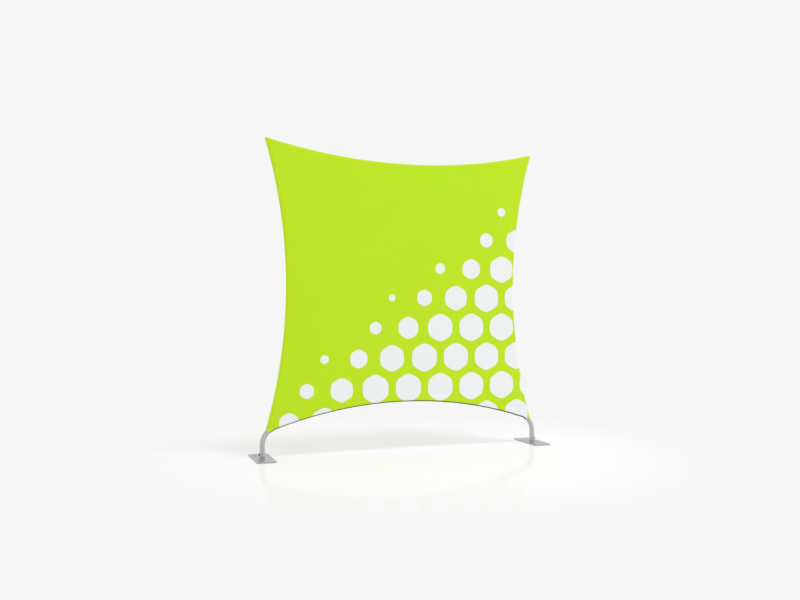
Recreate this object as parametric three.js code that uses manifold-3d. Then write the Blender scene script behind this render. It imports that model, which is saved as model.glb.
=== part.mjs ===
// A free-standing fabric display wall. A closed loop of round tube with four hollow sides stands on two bent
// legs with flat foot plates. A printed stretch cover is drawn over the loop and zipped shut along its lower
// edge. Millimetres: +X to the viewer's right, +Y away from the viewer, +Z up. The tubes' centre lines lie in
// the plane Y = 0, mirrored about X = 0, and the foot pads rest on Z = 0.

import * as THREE from "three";
import { mergeVertices } from "three/addons/utils/BufferGeometryUtils.js";
import Module from "manifold-3d";

const wasm = await Module();
wasm.setup();

// ---------------------------------------------------------------- driving dimensions

// The frame, measured on the centre lines of its tubes
const cornerSpan = 2092; // between the two top corners
const cornerHeight = 2273; // floor to the top corners
const topInset = 126; // how far the top tube bows down from the line between its corners
const sideInset = 149; // how far each side tube bows in from the line between its ends
const archCrownHeight = 386; // floor to the lower tube at mid span
const legSpacing = 2174; // between the two upright legs
const legUpright = 93; // floor to the start of the leg's bend
const legBendRadius = 140;
const sideJointAngle = 45; // degrees round the leg's bend, up from level, where the side tube branches off

// Tube stock, and how smoothly the solids follow it
const tubeDiameter = 38;
const tubeWall = 1.5;
const tubeSides = 16;
const curveChords = 15; // straight chords in each long curve: an odd count puts one across the middle
const upperBendChords = 3; // from the lower tube round the leg's bend to the branch
const lowerBendChords = 4; // and from the branch on to the upright leg
const clearance = 0.3; // between pieces that touch or slide

// Plugged joints: an inner sleeve fixed in one tube slides into the next, where a snap button holds it
const spigotWall = 1.5;
const spigotSeat = 50; // length fixed in the first tube
const spigotReach = 55; // length that plugs into the second tube
const elbowReach = 75; // length of each arm of a top corner elbow
const elbowSeat = 40; // length of spigot fixed in an elbow's arm

// Snap buttons: a domed pin on the free end of a leaf spring inside the spigot
const buttonDiameter = 8;
const buttonProud = 3.5; // how far it stands out of the tube
const buttonDome = 1.5; // height of its rounded end
const buttonSetback = 28; // from the tube's end to the button
const buttonHoleClearance = 1;
const leafTail = 17; // from the tube's end back to the leaf's fixed end
const leafWidth = 10;
const leafThickness = 0.8;

// Feet
const plateLength = 360; // front to back
const plateWidth = 140;
const plateThickness = 5;
const plateCorner = 14;
const padThickness = 1.5;
const padInset = 4; // from the plate's edge
const postHeight = 75;
const postWall = 2.5;
const postPlug = 20; // thickness of the threaded plug in the post's foot
const legLift = 1; // from the plate up to the end of the leg
const boltDiameter = 8;
const boltHeadDiameter = 15;
const boltHeadHeight = 3.6;
const boltGrip = 14; // length in the post's plug
const knobHeight = 32; // floor to the clamp knob's axis
const knobDiameter = 18;
const knobThickness = 8;
const knobLobes = 7;
const knobLobeDepth = 1.2;
const studDiameter = 6;
const studHoleClearance = 0.6;

// Cover: a front and a back panel that meet at the mid line of the tube
const fabricThickness = 0.5;

// Zip: two tapes, each with a row of teeth, between the two panels along the lower edge
const zipAngle = 38; // degrees round the tube from straight down towards the front
const toothRowWidth = 2.8; // of one row
const toothHeight = 1.3;
const tapeMargin = 1.6; // tape that shows beside its row of teeth
const zipMiddleGap = 0.4;
const tapeSetback = 14; // from the fabric's cut end to the end of the tape
const sliderLength = 16;
const sliderPlate = 1.2; // thickness of its top plate and side flanges
const sliderSetback = 40; // from the end of the lower tube's curve to the parked slider
const stopLength = 4;
const stopHeight = 1.4;
const stopSetback = 27; // from the end of the lower tube's curve to the end stop
const bridgeWidth = 1.8; // of the slider's bridge, which holds the pull
const bridgeLength = 8.8;
const bridgeBar = 1;
const bridgeOpening = 2.6;
const pullLength = 24;
const pullWidth = 6;
const pullThickness = 1.2;
const pullLoopBar = 1.4;
const pullLoopHole = 4.9; // length of the hole that the bridge stands in
const pullLoopHoleWidth = 2.8;

// ---------------------------------------------------------------- finishes

const finish = (color, roughness, metalness) => () =>
  new THREE.MeshStandardMaterial({ color, roughness, metalness });
const satinTube = finish(0xb4b6b5, 0.45, 0.6);
const plateGrey = finish(0xa9abaa, 0.4, 0.3);
const brightSleeve = finish(0xc8cacb, 0.3, 0.9);
const springSteel = finish(0xa3a6aa, 0.25, 1);
const blackRubber = finish(0x1d1d1d, 0.9, 0);
const blackPlastic = finish(0x2b2b2b, 0.5, 0);
const limeFabric = finish(0xbee728, 0.85, 0);
const zipTape = finish(0x2f3323, 0.9, 0);
const zipMetal = finish(0x55585a, 0.35, 0.9);

function piece(name, geometry, material) {
  const mesh = new THREE.Mesh(geometry, material());
  mesh.name = name;
  return mesh;
}

// ---------------------------------------------------------------- booleans

function toSolid(geometry) {
  const bare = geometry.clone();
  bare.deleteAttribute("normal");
  bare.deleteAttribute("uv");
  const merged = mergeVertices(bare);
  const mesh = new wasm.Mesh({
    numProp: 3,
    vertProperties: merged.attributes.position.array,
    triVerts: Uint32Array.from(merged.index.array),
  });
  return new wasm.Manifold(mesh);
}

function toGeometry(solid) {
  const { vertProperties, triVerts } = solid.getMesh();
  const geometry = new THREE.BufferGeometry();
  geometry.setAttribute("position", new THREE.BufferAttribute(Float32Array.from(vertProperties), 3));
  geometry.setIndex(new THREE.BufferAttribute(Uint32Array.from(triVerts), 1));
  geometry.computeVertexNormals();
  return geometry;
}

// The largest body of a solid, which drops the slivers that a cut leaves
function largestBody(solid) {
  return solid.decompose().reduce((best, body) => (body.volume() > best.volume() ? body : best));
}

// A round cutter that starts at a point and runs in a direction
function drill(start, direction, radius, length) {
  const cutter = new THREE.CylinderGeometry(radius, radius, length, 12);
  cutter.translate(0, length / 2, 0);
  const turn = new THREE.Quaternion().setFromUnitVectors(new THREE.Vector3(0, 1, 0), direction);
  cutter.applyQuaternion(turn);
  cutter.translate(start.x, start.y, start.z);
  return toSolid(cutter);
}

// ---------------------------------------------------------------- centre lines in the frame's plane

const radians = THREE.MathUtils.degToRad;
const point = (x, z) => new THREE.Vector2(x, z);
const mirrored = (p) => point(-p.x, p.y);
const middle = (a, b) => a.clone().add(b).multiplyScalar(0.5);
const leftOf = (direction) => point(-direction.y, direction.x);
const inSpace = (p) => new THREE.Vector3(p.x, 0, p.y);

// The circle through a and b that bows by inset to the left of the way from a to b
function bowedCircle(a, b, inset) {
  const half = a.distanceTo(b) / 2;
  const radius = (half * half + inset * inset) / (2 * inset);
  const left = leftOf(b.clone().sub(a).normalize());
  return { centre: middle(a, b).addScaledVector(left, inset - radius), radius };
}

function onCircle({ centre, radius }, angle) {
  return point(centre.x + radius * Math.cos(angle), centre.y + radius * Math.sin(angle));
}

// The corners of a circle's arc from one of its points to another, in equal chords
function arcCorners(circle, from, to, chords) {
  const start = from.clone().sub(circle.centre).angle();
  const whole = to.clone().sub(circle.centre).angle() - start;
  const turn = whole - 2 * Math.PI * Math.round(whole / (2 * Math.PI));
  return Array.from({ length: chords + 1 }, (_, i) => onCircle(circle, start + (turn * i) / chords));
}

// The right half of a symmetrical arc: the middle of its middle chord, and the corners from there on
function rightHalf(corners) {
  const right = corners.slice(corners.length / 2);
  return [point(0, right[0].y), ...right];
}

// A tube's centre line: corners joined by straight chords. `inside` is 1 where the inside of the loop lies to
// the left of the line's direction, and -1 where it lies to the right.
class CentreLine {
  constructor(corners, inside) {
    this.corners = corners;
    this.inside = inside;
    this.distances = [0];
    for (let i = 1; i < corners.length; i++)
      this.distances.push(this.distances[i - 1] + corners[i].distanceTo(corners[i - 1]));
    this.length = this.distances.at(-1);
  }

  direction(chord) {
    return this.corners[chord + 1].clone().sub(this.corners[chord]).normalize();
  }

  // The place and direction at a distance; before the start, the first chord is run on
  at(distance) {
    const passed = this.distances.filter((d) => d <= distance).length;
    const chord = THREE.MathUtils.clamp(passed - 1, 0, this.corners.length - 2);
    const tangent = this.direction(chord);
    const along = distance - this.distances[chord];
    return { position: this.corners[chord].clone().addScaledVector(tangent, along), tangent };
  }

  inward(distance) {
    return leftOf(this.at(distance).tangent).multiplyScalar(this.inside);
  }

  // One station at each end of a stretch and at each corner between
  stations(from, to) {
    const between = [];
    for (let i = 1; i < this.corners.length - 1; i++) {
      if (this.distances[i] <= from || this.distances[i] >= to) continue;
      const tangent = this.direction(i - 1).add(this.direction(i)).normalize();
      between.push({ position: this.corners[i], tangent });
    }
    return [this.at(from), ...between, this.at(to)];
  }

  // The same from as far left of the middle as right of it
  stationsAcross(reach) {
    const right = this.stations(0, reach).slice(1);
    const left = right.map(({ position, tangent }) => ({
      position: mirrored(position),
      tangent: point(tangent.x, -tangent.y),
    }));
    return [...left.reverse(), ...right];
  }
}

// The way of an extrusion that takes one step from each station to the next
class StationPath extends THREE.Curve {
  constructor(stations) {
    super();
    this.stations = stations;
  }

  stationAt(u) {
    return this.stations[Math.round(u * (this.stations.length - 1))];
  }

  getPointAt(u) {
    return inSpace(this.stationAt(u).position);
  }

  getTangentAt(u) {
    return inSpace(this.stationAt(u).tangent);
  }
}

// Top and side curves run through the corners; the lower curve runs on smoothly into the legs' bends
const topCorner = point(cornerSpan / 2, cornerHeight);
const topCircle = bowedCircle(topCorner, mirrored(topCorner), topInset);
const bendCircle = {
  centre: point(legSpacing / 2 - legBendRadius, legUpright),
  radius: legBendRadius,
};
const sideJoint = onCircle(bendCircle, radians(sideJointAngle));
const sideCircle = bowedCircle(sideJoint, topCorner, sideInset);

const crownOverBend = archCrownHeight - legUpright;
const archRadius =
  (bendCircle.centre.x ** 2 + crownOverBend ** 2 - legBendRadius ** 2) / (2 * (crownOverBend - legBendRadius));
const archCircle = { centre: point(0, archCrownHeight - archRadius), radius: archRadius };
const archEndAngle = bendCircle.centre.clone().sub(archCircle.centre).angle();
const archEnd = onCircle(archCircle, archEndAngle);

const padTop = padThickness;
const plateBottom = padTop + clearance;
const plateTop = plateBottom + plateThickness;

const topLine = new CentreLine(
  rightHalf(arcCorners(topCircle, mirrored(topCorner), topCorner, curveChords)),
  -1,
);
const sideLine = new CentreLine(arcCorners(sideCircle, sideJoint, topCorner, curveChords), 1);
const archCurve = rightHalf(arcCorners(archCircle, mirrored(archEnd), archEnd, curveChords));
const archLine = new CentreLine(
  [
    ...archCurve,
    ...arcCorners(bendCircle, archEnd, sideJoint, upperBendChords).slice(1),
    ...arcCorners(bendCircle, sideJoint, onCircle(bendCircle, 0), lowerBendChords).slice(1),
    point(legSpacing / 2, plateTop + legLift),
  ],
  1,
);
const archEndCorner = archCurve.length - 1;
const sideJointCorner = archEndCorner + upperBendChords;
const archEndDistance = archLine.distances[archEndCorner];
const sideJointDistance = archLine.distances[sideJointCorner];

// ---------------------------------------------------------------- tubes and spigots

const tubeRadius = tubeDiameter / 2;
const boreRadius = tubeRadius - tubeWall;
const spigotRadius = boreRadius - clearance;
const spigotBore = spigotRadius - spigotWall;

function polygon(radius) {
  return Array.from({ length: tubeSides }, (_, i) => {
    const angle = (2 * Math.PI * i) / tubeSides;
    return new THREE.Vector2(radius * Math.cos(angle), radius * Math.sin(angle));
  });
}

function annulus(outer, inner) {
  const shape = new THREE.Shape(polygon(outer));
  shape.holes.push(new THREE.Path(polygon(inner)));
  return shape;
}

function sweep(section, stations) {
  return new THREE.ExtrudeGeometry(section, {
    steps: stations.length - 1,
    extrudePath: new StationPath(stations),
  });
}

// Plugged joints of one side. The button stands `toward` the start (-1) or the end (1) of the line.
const middleOfChord = (line, corner) => (line.distances[corner] + line.distances[corner + 1]) / 2;
const plugs = {
  leg: {
    line: archLine,
    distance: middleOfChord(archLine, archEndCorner - 1),
    toward: -1,
    seat: spigotSeat,
  },
  branch: { line: sideLine, distance: middleOfChord(sideLine, 1), toward: 1, seat: spigotSeat },
  middle: {
    line: sideLine,
    distance: middleOfChord(sideLine, (curveChords - 1) / 2),
    toward: 1,
    seat: spigotSeat,
  },
  elbow_side: {
    line: sideLine,
    distance: sideLine.length - elbowReach,
    toward: -1,
    seat: elbowSeat,
  },
  elbow_top: { line: topLine, distance: topLine.length - elbowReach, toward: -1, seat: elbowSeat },
};
const topMiddlePlug = { line: topLine, distance: 0, toward: 1, seat: spigotSeat };
const bottomMiddlePlug = { line: archLine, distance: 0, toward: 1, seat: spigotSeat };
const buttonDistance = ({ distance, toward }) => distance + toward * buttonSetback;

// The hole in the wall that faces the inside of the loop, for a plug's button
function buttonHole(plug) {
  const distance = buttonDistance(plug);
  const start = inSpace(plug.line.at(distance).position);
  const direction = inSpace(plug.line.inward(distance));
  return drill(start, direction, buttonDiameter / 2 + buttonHoleClearance, tubeDiameter);
}

// A stretch of tube, with the holes of the plugs that slide into it
function tube(line, from, to, slidingPlugs) {
  const butt = clearance / 2;
  const wall = toSolid(sweep(annulus(tubeRadius, boreRadius), line.stations(from + butt, to - butt)));
  return toGeometry(slidingPlugs.reduce((solid, plug) => solid.subtract(buttonHole(plug)), wall));
}

function spigot(plug) {
  const fixedEnd = plug.distance - plug.toward * plug.seat;
  const freeEnd = plug.distance + plug.toward * spigotReach;
  const stations = plug.line.stations(Math.min(fixedEnd, freeEnd), Math.max(fixedEnd, freeEnd));
  return toGeometry(toSolid(sweep(annulus(spigotRadius, spigotBore), stations)).subtract(buttonHole(plug)));
}

// The button's stem and dome, fused to its leaf. The leaf's fixed end is at the origin, the leaf runs along
// +X, and the button points along +Y. `seat` is the radius of the leaf's outer face in its tube.
const leafLength = leafTail + buttonSetback + buttonDiameter / 2 + 1;
const leafSeat = spigotBore - (leafWidth / 2) * Math.tan(Math.PI / tubeSides) - clearance;

function snapButton() {
  const leaf = new THREE.BoxGeometry(leafLength, leafThickness, leafWidth);
  leaf.translate(leafLength / 2, -leafThickness / 2, 0);
  const radius = buttonDiameter / 2;
  const tip = tubeRadius + buttonProud - leafSeat;
  const profile = [
    new THREE.Vector2(0, -leafThickness / 2),
    new THREE.Vector2(radius, -leafThickness / 2),
    new THREE.Vector2(radius, tip - buttonDome),
    new THREE.Vector2(radius / 2, tip - buttonDome / 4),
    new THREE.Vector2(0, tip),
  ];
  const pin = new THREE.LatheGeometry(profile, 12);
  pin.translate(leafTail + buttonSetback, 0, 0);
  return toGeometry(toSolid(leaf).add(toSolid(pin)));
}

// Turns and moves a mesh so that its X, Y axes lie along the given directions from the given origin
function place(mesh, origin, xAxis, yAxis) {
  const zAxis = xAxis.clone().cross(yAxis);
  mesh.quaternion.setFromRotationMatrix(new THREE.Matrix4().makeBasis(xAxis, yAxis, zAxis));
  mesh.position.copy(origin);
  return mesh;
}

function placedSnapButton(name, plug) {
  const root = plug.distance - plug.toward * leafTail;
  const inward = inSpace(plug.line.inward(buttonDistance(plug)));
  const along = inSpace(plug.line.at(buttonDistance(plug)).tangent).multiplyScalar(plug.toward);
  const origin = inSpace(plug.line.at(root).position).addScaledVector(inward, leafSeat);
  return place(piece(name, snapButton(), springSteel), origin, along, inward);
}

// ---------------------------------------------------------------- corner elbow and branch

// One arm of the elbow, cut off at the mitre plane through the corner; `overrun` laps the two arms
function elbowArm(line, section, mitre, overrun) {
  const past = tubeDiameter; // run past the corner, all of which the mitre cuts off
  const { tangent } = line.at(line.length);
  const start = line.at(line.length - elbowReach + clearance / 2);
  const end = { position: topCorner.clone().addScaledVector(tangent, past), tangent };
  const cutterSize = 6 * tubeDiameter;
  const cutter = new THREE.BoxGeometry(cutterSize, cutterSize, cutterSize);
  cutter.translate(cutterSize / 2 + overrun, 0, 0);
  const away = leftOf(mitre);
  away.multiplyScalar(Math.sign(away.dot(tangent)));
  cutter.rotateY(-away.angle());
  cutter.translate(topCorner.x, 0, topCorner.y);
  return toSolid(sweep(section, [start, end])).subtract(toSolid(cutter));
}

function cornerElbow() {
  const lap = 0.02;
  const mitre = sideLine.at(sideLine.length).tangent.clone().add(topLine.at(topLine.length).tangent).normalize();
  const both = (radius) => {
    const section = new THREE.Shape(polygon(radius));
    return elbowArm(sideLine, section, mitre, lap).add(elbowArm(topLine, section, mitre, lap));
  };
  const bores = (line) => {
    const section = new THREE.Shape(polygon(boreRadius));
    const { position, tangent } = line.at(line.length - elbowReach);
    const mouth = { position: position.clone().addScaledVector(tangent, -clearance), tangent };
    return toSolid(sweep(section, [mouth, { position: topCorner, tangent }]));
  };
  return toGeometry(both(tubeRadius).subtract(bores(sideLine)).subtract(bores(topLine)));
}

// The short tube that is coped to fit the leg's bend and welded there
function branchTube() {
  const stub = sweep(annulus(tubeRadius, boreRadius), sideLine.stations(0, plugs.branch.distance - clearance / 2));
  const cope = new THREE.Shape(polygon(tubeRadius + clearance));
  const reach = plugs.branch.distance;
  const along = archLine.stations(sideJointDistance - reach, archLine.length);
  return toGeometry(largestBody(toSolid(stub).subtract(toSolid(sweep(cope, along)))));
}

// ---------------------------------------------------------------- leg and foot

const studHole = studDiameter / 2 + studHoleClearance;
const knobAxis = new THREE.Vector3(legSpacing / 2, 0, knobHeight);
const outwards = new THREE.Vector3(1, 0, 0);
const upright = new THREE.Vector3(0, 1, 0); // a turned piece's own axis, before it is placed
const postRadius = boreRadius * Math.cos(Math.PI / tubeSides) - clearance;

function leg() {
  const stations = archLine.stations(plugs.leg.distance + clearance / 2, archLine.length);
  const wall = toSolid(sweep(annulus(tubeRadius, boreRadius), stations));
  return toGeometry(wall.subtract(drill(knobAxis, outwards, studHole, tubeDiameter)));
}

function roundedRectangle(width, length, corner) {
  const x = width / 2 - corner;
  const y = length / 2 - corner;
  const quarter = Math.PI / 2;
  const shape = new THREE.Shape();
  shape.absarc(x, -y, corner, -quarter, 0);
  shape.absarc(x, y, corner, 0, quarter);
  shape.absarc(-x, y, corner, quarter, 2 * quarter);
  shape.absarc(-x, -y, corner, 2 * quarter, 3 * quarter);
  return shape;
}

function slab(width, length, corner, thickness, bottom) {
  const shape = roundedRectangle(width, length, corner);
  const geometry = new THREE.ExtrudeGeometry(shape, {
    depth: thickness,
    bevelEnabled: false,
    curveSegments: 4,
  });
  return geometry.translate(0, 0, bottom);
}

// A turned solid from its [radius, height] pairs, standing on +Z
function turned(profile, segments) {
  const points = profile.map(([radius, height]) => new THREE.Vector2(radius, height));
  return new THREE.LatheGeometry(points, segments).rotateX(Math.PI / 2);
}

// The bolt's outline, grown by a gap for the hole that it sits in
function boltOutline(gap, bottom, top) {
  const head = boltHeadDiameter / 2 + gap;
  const shank = boltDiameter / 2 + gap;
  return [
    [0, bottom],
    [head, bottom],
    [head, plateBottom],
    [shank, plateBottom + boltHeadHeight],
    [shank, top],
    [0, top],
  ];
}

function footPlate() {
  const plate = toSolid(slab(plateWidth, plateLength, plateCorner, plateThickness, plateBottom));
  const hole = turned(boltOutline(clearance, plateBottom - 1, plateTop + 1), 24);
  return toGeometry(plate.subtract(toSolid(hole)));
}

function footPad() {
  return slab(plateWidth - 2 * padInset, plateLength - 2 * padInset, plateCorner - padInset, padThickness, 0);
}

function plateBolt() {
  const outline = boltOutline(0, plateBottom, plateTop + boltGrip);
  return turned([outline[0], ...outline.slice(2)], 24);
}

function footPost() {
  const foot = plateTop + clearance;
  const hole = boltDiameter / 2 + clearance;
  return turned(
    [
      [hole, foot],
      [postRadius, foot],
      [postRadius, foot + postHeight],
      [postRadius - postWall, foot + postHeight],
      [postRadius - postWall, foot + postPlug],
      [hole, foot + postPlug],
      [hole, foot],
    ],
    24,
  );
}

// The lobed head and its stud, about the piece's own +Y axis, with the origin where the head meets the leg
function clampKnob() {
  const points = Array.from({ length: 4 * knobLobes }, (_, i) => {
    const angle = (2 * Math.PI * i) / (4 * knobLobes);
    const radius = knobDiameter / 2 - (knobLobeDepth / 2) * (1 - Math.cos(knobLobes * angle));
    return new THREE.Vector2(radius * Math.cos(angle), radius * Math.sin(angle));
  });
  const head = new THREE.ExtrudeGeometry(new THREE.Shape(points), {
    depth: knobThickness,
    bevelEnabled: false,
  });
  head.rotateX(-Math.PI / 2);
  const studLength = tubeRadius - postRadius;
  const stud = new THREE.CylinderGeometry(studDiameter / 2, studDiameter / 2, studLength + 1, 12);
  stud.translate(0, 1 - (studLength + 1) / 2, 0);
  return toGeometry(toSolid(head).add(toSolid(stud)));
}

// ---------------------------------------------------------------- fabric cover

const fabricInside = tubeRadius + clearance;
const fabricOutside = fabricInside + fabricThickness;

// The vector out of a bend that touches both neighbours' outer faces when it is scaled by their radius
function mitreOf(before, after) {
  return before.clone().add(after).divideScalar(1 + before.dot(after));
}

// The outward side of a chord, for corners that go round the cover counter-clockwise as seen from the front
const outwardOf = (a, b) => leftOf(b.clone().sub(a).normalize()).negate();

function rim(corners, firstOut, lastOut) {
  return corners.map((corner, i) => {
    if (i === 0) return { corner, out: firstOut };
    if (i === corners.length - 1) return { corner, out: lastOut };
    const before = outwardOf(corners[i - 1], corner);
    const after = outwardOf(corner, corners[i + 1]);
    return { corner, out: mitreOf(before, after) };
  });
}

// The cover is cut off square to the leg where the side tube branches from it
const archSide = archLine.corners.slice(1, sideJointCorner + 1);
const cutOut = mitreOf(
  outwardOf(archLine.corners[sideJointCorner - 1], sideJoint),
  outwardOf(sideJoint, archLine.corners[sideJointCorner + 1]),
);
const cutAcross = cutOut.clone().normalize().negate();
const sideOut = outwardOf(sideLine.corners[0], sideLine.corners[1]);
const branchOut = cutAcross.clone().divideScalar(cutAcross.dot(sideOut));
const topSide = topLine.corners.slice(1, -1);
const lowerRim = rim([...archSide.map(mirrored).reverse(), ...archSide], mirrored(cutOut), cutOut);
const upperRim = rim(
  [
    ...sideLine.corners,
    ...topSide.toReversed(),
    ...topSide.map(mirrored),
    ...sideLine.corners.map(mirrored).reverse(),
  ],
  branchOut,
  mirrored(branchOut),
);

// Angles round a rim from its edge to the panel's flat face, at the edges of the tube's own facets
function rimAngles(edge) {
  const facet = (2 * Math.PI) / tubeSides;
  const angles = [edge];
  for (let angle = -Math.PI / 2; angle < Math.PI / 2 - facet / 2; angle += facet)
    if (angle > edge + facet / 20) angles.push(angle);
  return [...angles, Math.PI / 2];
}

// One panel: a flat face and the quarter-round rim that follows the tubes from it to the panel's edge. `face`
// is -1 for the front and 1 for the back. Angles go from the rim's outermost line towards the panel's face.
function panel(face, lowerEdgeAngle) {
  const triangles = [];
  const triangle = (a, b, c) => triangles.push(a, ...(face < 0 ? [b, c] : [c, b]));
  const quad = (a, b, c, d) => {
    triangle(a, b, c);
    triangle(a, c, d);
  };
  const onSkin = ({ corner, out }, angle, radius) => {
    const p = corner.clone().addScaledVector(out, radius * Math.cos(angle));
    return new THREE.Vector3(p.x, face * radius * Math.sin(angle), p.y);
  };
  const seamAngle = Math.asin(clearance / 2 / fabricOutside);
  const strips = [
    { stations: lowerRim, angles: rimAngles(lowerEdgeAngle) },
    { stations: upperRim, angles: rimAngles(seamAngle) },
  ];
  for (const { stations, angles } of strips) {
    const skin = (radius) => stations.map((s) => angles.map((angle) => onSkin(s, angle, radius)));
    const outer = skin(fabricOutside);
    const inner = skin(fabricInside);
    const last = stations.length - 1;
    const rimSteps = angles.length - 1;
    for (let i = 0; i < last; i++) {
      quad(outer[i + 1][0], outer[i][0], inner[i][0], inner[i + 1][0]);
      for (let k = 0; k < rimSteps; k++) {
        quad(outer[i][k], outer[i + 1][k], outer[i + 1][k + 1], outer[i][k + 1]);
        quad(inner[i][k], inner[i][k + 1], inner[i + 1][k + 1], inner[i + 1][k]);
      }
    }
    for (let k = 0; k < rimSteps; k++) {
      quad(outer[0][k], outer[0][k + 1], inner[0][k + 1], inner[0][k]);
      quad(outer[last][k + 1], outer[last][k], inner[last][k], inner[last][k + 1]);
    }
  }
  const outline = [...lowerRim, ...upperRim.slice(1, -1)].map(({ corner }) => corner);
  for (const [a, b, c] of THREE.ShapeUtils.triangulateShape(outline, [])) {
    const at = (i, radius) => new THREE.Vector3(outline[i].x, face * radius, outline[i].y);
    triangle(at(a, fabricOutside), at(b, fabricOutside), at(c, fabricOutside));
    triangle(at(a, fabricInside), at(c, fabricInside), at(b, fabricInside));
  }
  const geometry = new THREE.BufferGeometry().setFromPoints(triangles);
  geometry.computeVertexNormals();
  return geometry;
}

// ---------------------------------------------------------------- zip

// Round the tube, an angle from straight down towards the front stands for a width on the tapes
const aroundTube = (width) => width / fabricOutside;
const halfTape = zipMiddleGap / 2 + toothRowWidth + tapeMargin;
const zipMiddle = radians(zipAngle);
const frontEdgeAngle = zipMiddle + aroundTube(halfTape + clearance);
const backEdgeAngle = zipMiddle - aroundTube(halfTape + clearance);
const toothTop = fabricOutside + toothHeight;

// A strip on the tube between two widths from the zip's middle; its section's X is forwards and Y is down
function zipStrip(fromWidth, toWidth, inner, outer, reach) {
  const corner = (width, radius) => {
    const angle = zipMiddle + aroundTube(width);
    return new THREE.Vector2(radius * Math.sin(angle), radius * Math.cos(angle));
  };
  const halfway = (fromWidth + toWidth) / 2;
  const widths = [fromWidth, halfway, toWidth];
  const section = new THREE.Shape([
    ...widths.map((width) => corner(width, inner)),
    ...widths.map((width) => corner(width, outer)).reverse(),
  ]);
  return sweep(section, archLine.stationsAcross(reach));
}

function zipHalf(side) {
  const nearEdge = side * (zipMiddleGap / 2);
  const rowEdge = side * (zipMiddleGap / 2 + toothRowWidth);
  const tapeReach = sideJointDistance - tapeSetback;
  const toothReach = archEndDistance - stopSetback - stopLength / 2 - clearance;
  const tape = zipStrip(nearEdge, side * halfTape, fabricInside, fabricOutside, tapeReach);
  const teeth = zipStrip(nearEdge, rowEdge, fabricInside, toothTop, toothReach);
  return toGeometry(toSolid(tape).add(toSolid(teeth)));
}

// Straight out from the tube's centre line through the zip, where the line runs along `tangent`
function outThroughZip(tangent) {
  const down = leftOf(tangent).negate();
  const direction = inSpace(down).multiplyScalar(Math.cos(zipMiddle));
  direction.y = -Math.sin(zipMiddle);
  return direction;
}

function box(xRange, yRange, zRange) {
  const size = [xRange, yRange, zRange].map(([low, high]) => high - low);
  const centre = [xRange, yRange, zRange].map(([low, high]) => (low + high) / 2);
  return new THREE.BoxGeometry(...size).translate(...centre);
}

const halfRows = zipMiddleGap / 2 + toothRowWidth;

// A clamp across both rows. The piece's X runs along the zip and its Y out from the tube's centre line.
function endStop() {
  const bottom = fabricOutside + clearance;
  return box([-stopLength / 2, stopLength / 2], [bottom, bottom + stopHeight], [-halfRows, halfRows]);
}

// The slider keeps clear of the chords of the lower tube as it goes round its true circle
const chordSag = archRadius * (1 - Math.cos((Math.PI / 2 - archEndAngle) / curveChords));
const sliderRoof = toothTop + chordSag + clearance;
const sliderTop = sliderRoof + sliderPlate;
const pullPivot = sliderTop + bridgeOpening / 2;

function zipSlider() {
  const half = sliderLength / 2;
  const inner = halfRows + chordSag + clearance;
  const outer = inner + sliderPlate;
  const lip = fabricOutside + chordSag + clearance;
  const bridgeTop = sliderTop + bridgeOpening + bridgeBar;
  const post = bridgeLength / 2 - sliderPlate;
  const waist = outer * 0.8; // the tail is narrower than the shoulders
  const plate = new THREE.Shape([
    new THREE.Vector2(-half, -waist),
    new THREE.Vector2(half - waist, -outer),
    new THREE.Vector2(half, -waist),
    new THREE.Vector2(half, waist),
    new THREE.Vector2(half - waist, outer),
    new THREE.Vector2(-half, waist),
  ]);
  const roof = new THREE.ExtrudeGeometry(plate, { depth: sliderPlate, bevelEnabled: false });
  roof.rotateX(-Math.PI / 2).translate(0, sliderRoof, 0);
  const across = [-bridgeWidth / 2, bridgeWidth / 2];
  const into = sliderTop - sliderPlate / 2;
  const flange = [-half / 2, half - waist];
  const rest = [
    box(flange, [lip, into], [inner, outer]),
    box(flange, [lip, into], [-outer, -inner]),
    box([-bridgeLength / 2, -post], [into, bridgeTop], across),
    box([post, bridgeLength / 2], [into, bridgeTop], across),
    box([-bridgeLength / 2, bridgeLength / 2], [bridgeTop - bridgeBar, bridgeTop], across),
  ];
  return toGeometry(rest.reduce((solid, shape) => solid.add(toSolid(shape)), toSolid(roof)));
}

// The pull lies along -X of its pivot, with its loop round the slider's bridge
function zipPull() {
  const near = pullLoopBar / 2;
  const far = near + pullLoopHole;
  const half = pullWidth / 2;
  const shape = new THREE.Shape();
  shape.moveTo(near, -half);
  shape.lineTo(near, half);
  shape.lineTo(half - pullLength, half);
  shape.absarc(half - pullLength, 0, half, Math.PI / 2, (3 * Math.PI) / 2);
  const hole = pullLoopHoleWidth / 2;
  shape.holes.push(
    new THREE.Path([
      new THREE.Vector2(-near, -hole),
      new THREE.Vector2(-far, -hole),
      new THREE.Vector2(-far, hole),
      new THREE.Vector2(-near, hole),
    ]),
  );
  const tab = new THREE.ExtrudeGeometry(shape, {
    depth: pullThickness,
    bevelEnabled: false,
    curveSegments: 6,
  });
  return tab.rotateX(-Math.PI / 2).translate(0, -pullThickness / 2, 0);
}

// ---------------------------------------------------------------- assembly

const wall = new THREE.Group();

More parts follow.
